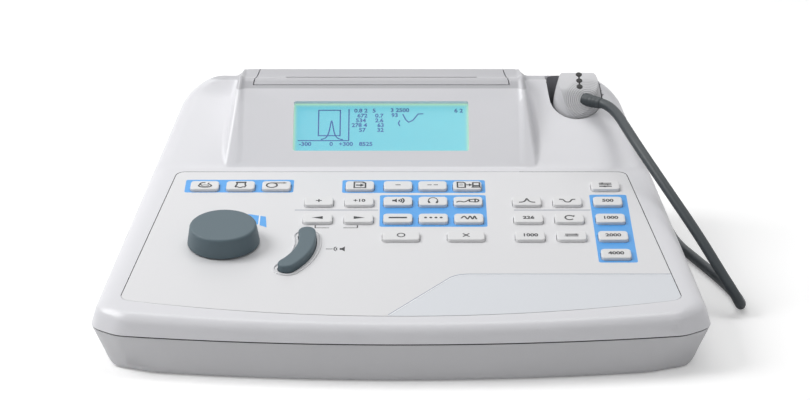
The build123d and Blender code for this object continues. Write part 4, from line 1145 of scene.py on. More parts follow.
def key_drawing(mark: Mark) -> Drawing:
    """Draw the mark of a key, in millimetres about the middle of its top.

    Args:
        mark: Which mark it is.

    Returns:
        The drawing.
    """
    art = Drawing()
    match mark:
        case Mark.ERASE:
            art.line(arc((0.2, -0.9), (3.6, 1.9), 125, 410, 40))
            art.line(arc((0.2, -0.9), (2.0, 0.9), 0, 345, 28), closed=True, pen=0.4)
            art.line([(1.9, 0.6), (2.2, 2.4)])
            art.line(arc((-0.6, 1.0), (2.2, 1.7), 70, 175, 14))
            art.fill([(-3.4, 0.6), (-1.9, 0.9), (-2.9, 2.2)])
        case Mark.PRINT:
            art.line([(-2.6, 3.2), (2.8, 3.2), (2.5, 1.0), (3.0, -1.0), (2.3, -3.0)])
            art.line([(-2.6, 3.2), (-1.9, 1.2), (-2.6, -1.0), (-2.9, -2.6)])
            wave = -2.8 + 0.45 * np.sin(np.linspace(0, 9, 20))
            art.line(np.column_stack((np.linspace(-2.9, 2.3, 20), wave)))
            art.line([(-1.9, 2.4), (2.2, 2.4)], pen=0.35)
        case Mark.FEED:
            art.line(arc((-2.6, -0.4), (3.0, 2.7), 0, 350, 36), closed=True)
            art.line([(-2.6, 2.3), (4.2, 2.3)])
            art.fill([(4.0, 1.5), (6.2, 2.3), (4.0, 3.1)])
        case Mark.PAGE:
            art.line([(-3.2, 3.4), (1.9, 3.4), (3.2, 2.0), (3.2, -3.4), (-3.2, -3.4)], closed=True)
            art.line([(1.7, 3.2), (1.7, 1.9), (3.0, 1.9)], pen=0.35)
            art.line([(-2.2, -0.3), (0.6, -0.3)], pen=1.3)
            art.fill([(0.3, -2.2), (2.5, -0.3), (0.3, 1.6)])
        case Mark.LESS:
            art.line([(-1.5, 0), (1.5, 0)], pen=0.7)
        case Mark.LEAST:
            art.line([(-3.0, 0), (-0.6, 0)], pen=0.7).line([(0.6, 0), (3.0, 0)], pen=0.7)
        case Mark.MORE:
            art.line([(-1.7, 0), (1.7, 0)], pen=0.7).line([(0, -1.7), (0, 1.7)], pen=0.7)
        case Mark.TRANSFER:
            art.line([(-5.6, 3.1), (-2.2, 3.1), (-1.2, 2.0), (-1.2, -3.1), (-5.6, -3.1)], closed=True)
            art.line([(-4.6, 1.0), (-2.4, 1.0)], pen=0.35).line([(-4.6, -0.4), (-2.4, -0.4)], pen=0.35)
            art.line([(-1.0, 0), (1.4, 0)], pen=0.9).fill([(1.0, -1.6), (2.9, 0), (1.0, 1.6)])
            art.line([(3.2, 2.6), (7.0, 2.6), (7.0, -0.8), (3.2, -0.8)], closed=True)
            art.line([(2.8, -2.9), (7.4, -2.9), (6.9, -1.6), (3.3, -1.6)], closed=True)
        case Mark.PROGRAM:
            for row, stop in ((1.9, -1.6), (0, 1.4), (-1.9, -0.4)):
                art.line([(-3.6, row), (3.6, row)]).dot(stop, row, 0.8)
        case Mark.WAVES:
            art.fill([(-3.2, -0.9), (-2.0, -0.9), (-0.6, -2.1), (-0.6, 2.1), (-2.0, 0.9), (-3.2, 0.9)])
            for size in (1.4, 2.7, 4.0):
                art.line(arc((-0.6, 0), (size, size), -42, 42, 14))
        case Mark.PHONES:
            art.line(arc((0, -0.2), (2.6, 3.6), -20, 200, 36), pen=0.6)
            for side in (-1, 1):
                art.line([(side * 2.5, -0.8), (side * 2.0, -2.9)], pen=1.2)
        case Mark.INSERT:
            lead = np.linspace(0, 1, 24)
            art.line(np.column_stack((-6.6 + 7.4 * lead, -2.1 + 2.2 * lead + 0.8 * np.sin(lead * 2.4 * pi))))
            art.line([(0.8, 1.2), (4.0, 1.7), (4.0, -1.7), (0.8, -1.2)], closed=True)
            art.line(arc((4.0, 0), (2.0, 1.7), -90, 90, 16), pen=0.9)
        case Mark.PEAK:
            across = np.linspace(-4.6, 4.6, 44)
            art.line(np.column_stack((across, -2.1 + 4.4 / (1 + (across / 0.9) ** 2))))
        case Mark.REFLEX:
            across = np.linspace(-4.6, 4.6, 44)
            dip = 1 / (1 + np.exp(-(across + 1.8) * 3)) - 1 / (1 + np.exp(-(across - 2.0) * 3))
            art.line(np.column_stack((across, 1.5 - 3.2 * dip)))
        case Mark.LEFT | Mark.RIGHT:
            side = 1 if mark is Mark.RIGHT else -1
            art.fill([(side * 3.4, 0), (-side * 2.8, 1.5), (-side * 2.8, -1.5)][::side])
        case Mark.BAR:
            art.line([(-5.1, 0), (5.1, 0)], pen=1.5)
        case Mark.DOTS:
            for step in (-1.5, -0.5, 0.5, 1.5):
                art.dot(step * 2.9, 0, 0.85)
        case Mark.WARBLE:
            across = np.linspace(-4.4, 4.4, 60)
            art.line(np.column_stack((across, 1.5 * np.sin(across * 2.1 + across**2 * 0.12))))
        case Mark.SAME_SIDE:
            art.line(arc((0, 0), (2.4, 2.4), 40, 320, 30))
            art.fill([(1.0, 1.9), (2.6, 0.6), (3.0, 2.6)])
        case Mark.OTHER_SIDE:
            for side in (-1, 1):
                art.line([(-side * 3.6, side * 0.9), (side * 2.4, side * 0.9)])
                art.fill([(side * 2.2, side * 0.1), (side * 4.2, side * 0.9), (side * 2.2, side * 1.7)])
        case Mark.ROUND:
            art.line(arc((0, 0), (2.0, 2.0), 0, 350, 30), closed=True, pen=0.7)
        case Mark.CROSS:
            art.line([(-1.8, -1.8), (1.8, 1.8)], pen=0.7).line([(-1.8, 1.8), (1.8, -1.8)], pen=0.7)
        case _:
            art.figures(mark.value, 0, 0, 4.3)
    return art


@dataclass(frozen=True)
class Key:
    """One key: its name, its place on the panel in millimetres, its width and its mark."""

    name: str
    x: float
    along: float
    width: float
    mark: Mark


@dataclass
class Keypad:
    """The thirty keys in millimetres: soft-edged caps that stand out of the panel, with their marks."""

    narrow: float = 18.8
    wide: float = 23.7
    depth: float = 11.9
    corner: float = 2.6
    stand: float = 2.1
    root: float = -1.6
    edge: float = 0.8
    dish: float = 0.03
    print_lift: float = 0.08
    mark_stretch: tuple[float, float] = (1.15, 1.2)
    left_x: float = -129.5
    left_pitch: float = 23.6
    arrow_x: float = -53.6
    wide_pitch: float = 26.3
    middle_x: float = -2.2
    middle_pitch: float = 22.8
    right_x: float = 81.7
    ear_x: float = -0.1
    ear_pitch: float = 41.2
    top_row: float = 167.1
    second_row: float = 144.8
    row_pitch: float = 23.55
    sharp: float = 35

    def keys(self) -> list[Key]:
        """List the keys, row by row, from the columns of the three groups."""
        left = [self.left_x + self.left_pitch * step for step in range(3)]
        middle = [self.arrow_x, self.arrow_x + self.wide_pitch]
        middle += [self.middle_x + self.middle_pitch * step for step in range(3)]
        right = [self.right_x + self.wide_pitch * step for step in range(3)]
        ears = [self.ear_x, self.ear_x + self.ear_pitch]
        rows = [self.top_row] + [self.second_row - self.row_pitch * step for step in range(4)]
        groups = [
            (0, left, "erase print paper_feed", (Mark.ERASE, Mark.PRINT, Mark.FEED)),
            (
                0,
                middle[1:],
                "page memory_clear memory_clear_all data_transfer",
                (Mark.PAGE, Mark.LESS, Mark.LEAST, Mark.TRANSFER),
            ),
            (0, right[2:], "program", (Mark.PROGRAM,)),
            (
                1,
                middle,
                "memory_store level_boost audiometry phones insert",
                (Mark.MORE, Mark.PLUS_10, Mark.WAVES, Mark.PHONES, Mark.INSERT),
            ),
            (1, right, "tympanogram reflex tone_500", (Mark.PEAK, Mark.REFLEX, Mark.N_500)),
            (
                2,
                middle,
                "left right steady_tone pulsed_tone warble",
                (Mark.LEFT, Mark.RIGHT, Mark.BAR, Mark.DOTS, Mark.WARBLE),
            ),
            (2, right, "probe_226 ipsilateral tone_1000", (Mark.N_226, Mark.SAME_SIDE, Mark.N_1000)),
            (3, ears, "ear_right ear_left", (Mark.ROUND, Mark.CROSS)),
            (3, right, "probe_1000 contralateral tone_2000", (Mark.N_1000, Mark.OTHER_SIDE, Mark.N_2000)),
            (4, right[2:], "tone_4000", (Mark.N_4000,)),
        ]
        return [
            Key("key_" + name, x, rows[row], self.wide if columns is ears else self.narrow, mark)
            for row, columns, names, marks in groups
            for x, name, mark in zip(columns, names.split(), marks)
        ]

    def cap(self, key: Key) -> tuple[Array, list]:
        """Shape a cap: nested rounded rectangles, up the wall, over a quarter round and into the dish.

        Args:
            key: The key.

        Returns:
            The points in the frame and the faces.
        """
        round_over = rounded_edge(self.edge, self.stand, 7)
        inner = self.depth / 4
        profile = np.vstack((
            [(0, self.root)],
            round_over,
            [(inner * 0.65, self.stand - self.dish * 0.5), (inner, self.stand - self.dish)],
        ))
        flat = rounded_rectangle(key.width, self.depth, self.corner, profile[:, 0], 8)
        heights = np.broadcast_to(profile[:, 1:], flat.shape[:2])[..., None]
        points, faces = closed_rings(np.concatenate((flat, heights), axis=-1))
        return PANEL.place((points + np.array([key.x, key.along, 0])) * MM), faces

    def build(self) -> None:
        """Make every cap and print its mark on it."""
        for key in self.keys():
            body = key.name + "_cap"
            top = key.name + "_top"
            add_piece(top, *self.cap(key), KEY_PLASTIC, body, "key_white", (key.name,), self.sharp)
            art = key_drawing(key.mark)
            lift = self.stand - self.dish + self.print_lift
            points = art.laid(PANEL, key.x, key.along, lift, self.mark_stretch)
            add_piece(key.name + "_mark", points, art.faces, DARK_INK, body, "control_grey")


@dataclass
class PanelPrint:
    """The lines, brackets and small pictures that are printed on the panel, in millimetres."""

    lift: float = 0.03
    fine: float = 0.9
    step_pen: float = 1.0
    sign_pen: float = 0.7
    light_shift: float = -0.9
    step_foot: tuple[float, float] = (-7.5, 1.2)
    step_end: tuple[float, float] = (166.2, 51)
    bend_centre: tuple[float, float] = (42.5, 41.5)
    bend_radii: tuple[float, float] = (14.5, 9.5)
    group_lines: tuple = (((-69, 135.5), (-15, 135.5)), ((73, 135.5), (122.4, 135.5)))
    level_line: tuple = ((-91.2, 128.6), (-91.2, 114.6))
    level_wedge: tuple = (
        (-106, 131), (-96.5, 129.4), (-87.2, 126.4), (-86, 111.8), (-91, 115), (-100, 121),
    )
    brackets: tuple = (
        ((-55, 114.6), (-55, 111.2), (-46, 111.2)),
        ((-37, 111.2), (-28, 111.2), (-28, 114.6)),
    )
    minus: tuple = ((-47.4, 83.2), (-43, 83.2))
    horn: tuple = (
        (-38.6, 82.0), (-37.2, 82.0), (-35.4, 79.9), (-35.4, 86.5), (-37.2, 84.4), (-38.6, 84.4),
    )
    wave_centre: tuple[float, float] = (-39.2, 83.2)
    wave_sizes: tuple[float, ...] = (1.6, 3.0)
    wave_stretch: float = 1.1

    def step_line(self, shift: float) -> Array:
        """Draw the edge of the cooler field: up a slope, round a bend, then level to the right."""
        foot, centre, end = (
            (x, along + shift) for x, along in (self.step_foot, self.bend_centre, self.step_end)
        )
        return np.vstack(([foot], arc(centre, self.bend_radii, 150, 90, 12), [end]))

    def build(self) -> None:
        """Make the printed lines in their inks."""
        grey = Drawing(self.fine)
        for path in self.group_lines:
            grey.line(path)
        grey.line(self.step_line(0), pen=self.step_pen)
        light = Drawing(self.fine).line(self.step_line(self.light_shift)).line(self.level_line)
        dark = Drawing(self.sign_pen)
        for path in (*self.brackets, self.minus):
            dark.line(path)
        dark.fill(self.horn)
        for size in self.wave_sizes:
            dark.line(arc(self.wave_centre, (size, size * self.wave_stretch), 125, 235, 12))
        blue = Drawing().fill(self.level_wedge)
        self._print(grey, "panel_lines", GREY_INK, self.lift)
        self._print(blue, "level_scale", BLUE_INK, self.lift)
        self._print(light, "panel_light_lines", LIGHT_INK, 2 * self.lift)
        self._print(dark, "panel_signs", DARK_INK, self.lift)

    @staticmethod
    def _print(art: Drawing, name: str, ink: Ink, lift: float) -> None:
        """Lay one drawing on the panel in its ink."""
        add_piece(name, art.laid(PANEL, 0, 0, lift), art.faces, ink, "base", "fascia")


@dataclass
class LevelKnob:
    """The round level knob: a tapered skirt with a soft top edge, in millimetres."""

    x: float = KNOB_X
    along: float = KNOB_ALONG
    radius: float = 22.8
    top_radius: float = 21.2
    lift: float = 0.8
    height: float = 12.5
    edge: float = 1.7
    foot_edge: float = 0.5
    hollow: float = 0.6
    rim_top: float = 2.4
    rim_foot: float = 2.2
    dish: tuple[tuple[float, float], ...] = ((0.85, 0.04), (0.4, 0.1), (0, 0.12))
    columns: int = 96
    sharp: float = 30

    def build(self) -> None:
        """Turn the profile: in under the skirt, up its taper, over a quarter round to the top."""
        top = self.lift + self.height
        under = self.lift + self.hollow
        foot = rounded_edge(self.foot_edge, 0, 4)[::-1]
        over = rounded_edge(self.edge, top, 9)
        profile = np.vstack((
            [(0, under), (self.radius - self.rim_top, under), (self.radius - self.rim_foot, self.lift)],
            np.column_stack((self.radius - foot[:, 0], self.lift - foot[:, 1])),
            np.column_stack((self.top_radius - over[:, 0], over[:, 1])),
            [(self.top_radius * share, top - depth) for share, depth in self.dish],
        ))
        points, faces = closed_rings(revolved(profile, self.columns))
        placed = PANEL.place((points + np.array([self.x, self.along, 0])) * MM)
        add_piece(
            "level_knob_skin", placed, faces, CONTROL_GREY, "level_knob", "control_grey",
            ("attenuator_knob",), self.sharp,
        )


@dataclass
class ToneBar:
    """The curved tone bar: a slot bent round the knob's middle, in millimetres."""

    centre_x: float = KNOB_X
    centre_along: float = KNOB_ALONG
    path_radius: float = 53.0
    width: float = 11.0
    start: float = -39.0
    sweep: float = 48.0
    stand: float = 5.0
    root: float = -1.6
    edge: float = 1.5
    flat_inset: float = 2.6
    sharp: float = 30

    def rings(self, profile: Array) -> Array:
        """Nest bent slots: both long sides and both round ends draw in by each inset.

        Args:
            profile: Rows of inset and height.

        Returns:
            The rings, rows by points by 3.
        """
        inset, height = profile[:, :1], profile[:, 1:]
        half = self.width / 2 - inset
        first, last = radians(self.start), radians(self.start + self.sweep)
        long_side, cap = np.linspace(first, last, 28), np.linspace(0, pi, 16)[1:-1]
        outer = self._polar(self.path_radius + half, long_side)
        far = self._end(last, half, last + cap)
        inner = self._polar(self.path_radius - half, long_side[::-1])
        near = self._end(first, half, first + pi + cap)
        flat = np.concatenate((outer, far, inner, near), axis=1)
        return np.concatenate((flat, np.broadcast_to(height, flat.shape[:2])[..., None]), axis=-1)

    def _polar(self, radius: Array, turn: Array) -> Array:
        """Return the points at a radius from the knob's middle."""
        x, y = radius * np.cos(turn), radius * np.sin(turn)
        return np.stack((self.centre_x + x, self.centre_along + y), axis=-1)

    def _end(self, turn: float, radius: Array, around: Array) -> Array:
        """Return a half circle round one end of the path."""
        x = self.centre_x + self.path_radius * cos(turn) + radius * np.cos(around)
        y = self.centre_along + self.path_radius * sin(turn) + radius * np.sin(around)
        return np.stack((x, y), axis=-1)

    def build(self) -> None:
        """Skin the nested slots up the wall and over the soft edge."""
        over = rounded_edge(self.edge, self.stand, 8)
        profile = np.vstack(([(0, self.root)], over, [(self.flat_inset, self.stand)]))
        points, faces = closed_rings(self.rings(profile))
        add_piece(
            "tone_bar_skin", PANEL.place(points * MM), faces, CONTROL_GREY, "tone_bar", "control_grey",
            ("present_bar",), self.sharp,
        )


@dataclass
class Display:
    """The pane and the lit picture behind the opening of the sloping face, in millimetres."""

    width: float = 118.6
    height: float = 39.6
    middle: float = 33.8
    pane_top: float = -3.02
    pane_bottom: float = -4.2
    picture_lift: float = -4.45
    picture_depth: float = 0.1
    trace_lift: float = -4.4
    margin: float = 2.4
    corner: float = 1.5
    pen: float = 0.85
    figure_size: float = 4.6
    figure_weight: float = 0.03
    picture_stretch: tuple[float, float] = (1, 0.915)
    picture_rise: float = 1.1

    def _plate(self, heights: list[float]) -> tuple[Array, list]:
        """Stack equal rounded rectangles at the given heights and close both ends."""
        width, height = self.width + 2 * self.margin, self.height + 2 * self.margin
        flat = rounded_rectangle(width, height, self.corner, np.zeros(len(heights)), 6)
        level = np.broadcast_to(np.array(heights)[:, None], flat.shape[:2])[..., None]
        points, faces = closed_rings(np.concatenate((flat, level), axis=-1))
        return DISPLAY_FACE.place((points + np.array([0, self.middle, 0])) * MM), faces

    def trace(self) -> Drawing:
        """Draw a measured peak in its frame, a reflex dip, scales and plain readings."""
        art = Drawing(self.pen)
        art.line([(16.8, -6.1), (31.5, -6.1), (31.5, -28.4), (16.8, -28.4)], closed=True)
        art.line([(37.4, -5.0), (37.4, -32.7)]).line([(3.0, -32.7), (37.6, -32.7)])
        across = np.linspace(18.5, 33.5, 40)
        art.line(np.column_stack((across, -32.4 + 17.0 / (1 + ((across - 25.7) / 1.5) ** 2))))
        art.line([(72.0, -15.0), (71.0, -17.5), (72.0, -20.0)])
        art.line([(74.0, -9.5), (76.0, -14.4), (78.0, -16.6), (81.0, -14.8), (84.4, -9.4), (88.0, -9.2)])
        for text, x, y in (
            ("0.8 2", 45.5, -6.6), ("5", 54.5, -6.6), ("3 2500", 72.0, -6.2), ("6 2", 112.0, -6.6),
            ("672", 46.5, -11.0), ("0.7", 58.0, -11.0), ("93", 68.5, -10.6),
            ("534", 45.5, -15.2), ("2.6", 58.0, -15.2),
            ("278 4", 44.5, -19.4), ("63", 59.0, -19.4), ("57", 46.5, -23.6), ("32", 58.8, -23.6),
            ("-300", 8.0, -35.8), ("0", 25.6, -35.8), ("+300", 35.5, -35.8), ("8525", 49.0, -35.8),
        ):
            art.figures(text, x, y, self.figure_size, self.figure_weight)
        return art

    def build(self) -> None:
        """Make the pane, the lit field and the traces on it."""
        pane = self._plate([self.pane_bottom, self.pane_top])
        add_piece("display_pane", *pane, WINDOW_CLEAR, "base", "window_clear", ("display_window",))
        field_heights = [self.picture_lift - self.picture_depth, self.picture_lift]
        add_piece("display_field", *self._plate(field_heights), DISPLAY_LIT, "base", "lcd")
        art = self.trace()
        top = self.middle + self.height / 2 + self.picture_rise
        points = art.laid(DISPLAY_FACE, -self.width / 2, top, self.trace_lift, self.picture_stretch)
        add_piece("display_traces", points, art.faces, TRACE_INK, "base", "lcd")


@dataclass
class Probe:
    """The probe's bullet body with its slanting top and the three lamps in it, in millimetres."""

    neck_radius: float = 7.0
    neck_height: float = 28.0
    radius: float = 16.9
    hip_height: float = 55.7
    waist_height: float = 88.0
    shoulder: tuple[float, float] = (14.8, 101.0)
    top: tuple[float, float] = (11.6, 112.5)
    chord: tuple[float, float] = (-8.7, 101.5)
    facet_angle: float = 29.0
    facet_length: float = 17.8
    front_angle: float = 60.0
    front_radius: float = 9.0
    back_angle: float = -42.0
    back_radius: float = 5.0
    cuts: int = 7
    columns: int = 120
    seat_x: float = 121.0
    seat_y: float = 118.0
    lamp_shift: float = 0.8
    lamp_pitch: float = 5.7
    lamp_radius: float = 2.15
    lamp_stand: float = 0.12
    link_width: float = 1.1
    sharp: float = 24
    lamp_sharp: float = 35

    def _profile(self) -> Array:
        """Draw half the body: a cone, a straight waist, then the parabola through its three radii."""
        heights = np.linspace(self.waist_height, self.top[1], 24)
        known_heights = (self.waist_height, self.shoulder[1], self.top[1])
        known_radii = (self.radius, self.shoulder[0], self.top[0])
        radii = np.polyval(np.polyfit(known_heights, known_radii, 2), heights)
        foot = [(0, self.neck_height), (self.neck_radius, self.neck_height), (self.radius, self.hip_height)]
        return np.vstack((foot, np.column_stack((radii, heights)), [(0, self.top[1])]))

    def _rounded_cut(
        self, shape: bmesh.types.BMesh, corner: tuple, first: float, last: float, radius: float
    ) -> None:
        """Cut off what lies above a corner by planes that touch the circle rounding it.

        Args:
            shape: The body.
            corner: The corner's place from front to back and its height.
            first: The slope in degrees before the corner.
            last: The slope after it.
            radius: The radius of the round.
        """
        facings = np.array([(-sin(radians(slope)), cos(radians(slope))) for slope in (first, last)])
        centre = np.linalg.solve(facings, facings @ np.array(corner) - radius)
        for slope in np.linspace(first, last, self.cuts):
            facing = Vector((0, -sin(radians(slope)), cos(radians(slope))))
            place = Vector((0, *centre)) + radius * facing
            geometry = shape.verts[:] + shape.edges[:] + shape.faces[:]
            cut = bmesh.ops.bisect_plane(
                shape, geom=geometry, plane_co=place, plane_no=facing, clear_outer=True
            )
            edges = [part for part in cut["geom_cut"] if isinstance(part, bmesh.types.BMEdge)]
            if edges:
                bmesh.ops.holes_fill(shape, edges=edges)

    def _seated(self, points: Array) -> Array:
        """Set points about the probe's axis in the cradle, in metres."""
        return (points + np.array((self.seat_x, self.seat_y, 0))) * MM

    def _facet_end(self) -> tuple[float, float]:
        """Return where the slanting top ends, from front to back and in height."""
        slope = radians(self.facet_angle)
        forward, upward = self.facet_length * cos(slope), self.facet_length * sin(slope)
        return self.chord[0] + forward, self.chord[1] + upward

    def body(self) -> None:
        """Turn the profile, cut the slanting top with its rounded corners and seat the body."""
        points, faces = closed_rings(revolved(self._profile(), self.columns))
        mesh = bpy.data.meshes.new("whole_body")
        mesh.from_pydata(points.tolist(), [], faces)
        shape = bmesh.new()
        shape.from_mesh(mesh)
        bmesh.ops.remove_doubles(shape, verts=shape.verts, dist=self.lamp_stand / 10)
        self._rounded_cut(shape, self.chord, self.front_angle, self.facet_angle, self.front_radius)
        self._rounded_cut(shape, self._facet_end(), self.facet_angle, self.back_angle, self.back_radius)
        found = np.array([corner.co[:] for corner in shape.verts])
        shape.verts.index_update()
        kept = [tuple(corner.index for corner in face.verts) for face in shape.faces]
        shape.free()
        bpy.data.meshes.remove(mesh)
        add_piece(
            "probe_shell", self._seated(found), kept, PROBE_PLASTIC, "probe", "probe_plastic",
            ("probe_handle",), self.sharp,
        )

    def lamps(self) -> None:
        """Set three low domes and their bridge in a column up the slanting top."""
        slope = radians(self.facet_angle)
        half = self.facet_length / 2
        facet = Slope(0, self.chord[0] + half * cos(slope), self.chord[1] + half * sin(slope), slope)
        dome = rounded_edge(self.lamp_stand, self.lamp_stand, 4)
        outline = np.column_stack((self.lamp_radius - dome[:, 0], dome[:, 1]))
        foot = [(0, -self.lamp_stand), (self.lamp_radius, -self.lamp_stand)]
        profile = np.vstack((foot, outline, [(0, dome[-1, 1])]))
        lamp, lamp_faces = closed_rings(revolved(profile, 36))
        points, faces = [], []
        for step in (-1, 0, 1):
            faces += [tuple(index + len(lamp) * len(points) for index in face) for face in lamp_faces]
            points.append(lamp + np.array((self.lamp_shift, step * self.lamp_pitch, 0)))
        start = len(lamp) * len(points)
        wide, high = self.link_width / 2, self.lamp_pitch
        link = [(-wide, -high), (wide, -high), (wide, high), (-wide, high)]
        points.append(np.array([(x + self.lamp_shift, y, self.lamp_stand / 3) for x, y in link]))
        faces.append(tuple(range(start, start + 4)))
        placed = self._seated(facet.place(np.vstack(points)))
        add_piece(
            "probe_lamp_column", placed, faces, LAMP_DARK, "probe", "lamp",
            ("probe_lamps",), self.lamp_sharp,
        )

    def build(self) -> None:
        """Make the body and its lamps."""
        self.body()
        self.lamps()


@dataclass
class ProbeCable:
    """The probe's boot and its cable, in millimetres: to the table, behind the case, to its plug."""

    diameter: float = 6.8
    length: float = 1.87
    exit: tuple[float, float, float] = (135.8, 100.0, 95.0)
    heading: tuple[float, float, float] = (0.794, -0.607, 0.0)
    lead: float = 9.0
    boot_back: float = 14.0
    boot_radius: float = 4.6
    boot_end_radius: float = 3.8
    boot_rings: int = 5
    boot_ring_depth: float = 0.08
    boot_plain_share: float = 0.28
    boot_lip: float = 0.3
    boot_overhang: float = 0.25
    boot_sharp: float = 40
    run: list[tuple[float, float, float]] = field(default_factory=lambda: [
        (153.5, 50.0, 86.0), (170.5, 14.0, 67.5), (190.5, -17.0, 44.0), (205.0, -37.0, 23.5),
        (211.8, -46.0, 14.5), (216.5, -43.5, 5.2), (217.5, -30.0, 3.5), (213.0, -4.0, 3.5),
        (198.0, 41.5, 3.5), (187.0, 74.0, 3.5), (184.0, 112.0, 3.5), (170.0, 148.0, 3.5),
        (140.0, 167.0, 3.5), (103.0, 171.0, 3.5), (62.8, 166.25, 3.5), (26.8, 166.25, 3.5),
    ])
    tail: list[tuple[float, float, float]] = field(default_factory=lambda: [
        (26.8, 265.55, 11.0), (62.8, 265.55, 11.0), (84.0, 255.0, 17.0), (90.0, 229.0, 27.5),
        (90.0, 201.4, 36.1), (90.0, 173.4, 36.1),
    ])
    rest: float = 3.5
    coil_x: float = 20.0
    coil_y: float = 214.0
    inner_radius: float = 33.5
    turn_step: float = 7.6
    layer_step: float = 7.5
    climb: float = 0.25
    turns_in: float = 2.0
    turns_out: float = 2.5
    points_a_turn: int = 24

    def coil(self) -> Array:
        """Wind the coil: the radius shrinks to the middle turn and grows again one layer higher.

        The distance from the middle turn t gives the radius r0 + step (|t| - c/2), eased to a
        parabola within c of it, and the height climbs there along a straight line and a sine.
        """
        count = int((self.turns_in + self.turns_out) * self.points_a_turn) + 1
        turn = np.linspace(-self.turns_in, self.turns_out, count)
        share = np.clip(turn / self.climb, -1, 1)
        eased = self.turn_step * self.climb * share**2 / 2
        straight = self.turn_step * (np.abs(turn) - self.climb / 2)
        radius = self.inner_radius + np.where(np.abs(turn) < self.climb, eased, straight)
        rise = self.layer_step * ((share + 1) / 2 + np.sin(pi * share) / (2 * pi))
        angle = -pi / 2 - 2 * pi * turn
        x, y = self.coil_x + radius * np.cos(angle), self.coil_y + radius * np.sin(angle)
        return np.column_stack((x, y, self.rest + rise))

    def route(self) -> Array:
        """Return the cable's control points in metres, from the boot to the plug."""
        start = np.array(self.exit)
        lead = start + self.lead * np.array(self.heading)
        return np.vstack((start, lead, self.run, self.coil(), self.tail)) * MM

    def cable(self) -> bpy.types.Object:
        """Make the cable as one smooth spline with a round section."""
        curve = bpy.data.curves.new("probe_cable", "CURVE")
        curve.dimensions = "3D"
        curve.bevel_depth = self.diameter / 2 * MM
        curve.bevel_resolution = 5
        curve.resolution_u = 8
        curve.use_fill_caps = True
        points = self.route()
        spline = curve.splines.new("NURBS")
        spline.points.add(len(points) - 1)
        spline.points.foreach_set("co", np.column_stack((points, np.ones(len(points)))).ravel())
        spline.order_u = 3
        spline.use_endpoint_u = True
        piece = bpy.data.objects.new("probe_cable", curve)
        nodes = ("probe_cable_run", "probe_cable_coil", "probe_cable_tail")
        return seat(piece, CABLE_JACKET, "base", nodes)

    def boot(self) -> None:
        """Turn the tapered boot round the exit's heading, with shallow rings along it."""
        along = np.linspace(0, 1, 60)
        taper = self.boot_radius + (self.boot_end_radius - self.boot_radius) * along
        rings = self.boot_ring_depth * np.maximum(np.cos(2 * pi * self.boot_rings * along), 0)
        radius = taper - rings * (along > self.boot_plain_share)
        profile = np.vstack((
            [(0, -self.boot_back)],
            np.column_stack((radius, self.boot_back * (along - 1))),
            [(self.boot_end_radius - self.boot_lip, self.boot_overhang), (0, self.boot_overhang)],
        ))
        local = revolved(profile, 40)
        axis = np.array(self.heading) / np.linalg.norm(self.heading)
        side = np.array([-axis[1], axis[0], 0])
        up = np.cross(axis, side)
        frame = np.stack((side, up, axis))
        points, faces = closed_rings(local @ frame + np.array(self.exit))
        add_piece(
            "probe_boot", points * MM, faces, CABLE_JACKET, "probe", "cable_grey",
            ("probe_strain_relief",), self.boot_sharp,
        )

    def build(self) -> None:
        """Make the boot and the cable."""
        self.boot()
        cable = self.cable()


@dataclass(frozen=True)
class Lamp:
    """A large soft lamp: its place, its width and height in metres, and its power in watts."""

    name: str
    place: tuple[float, float, float]
    size: tuple[float, float]
    watts: float


LAMPS = (
    Lamp("key_lamp", (-1.2, 0.15, 1.3), (0.8, 0.8), 16),
    Lamp("top_lamp", (0.1, 0.65, 1.8), (1.8, 0.7), 11),
)


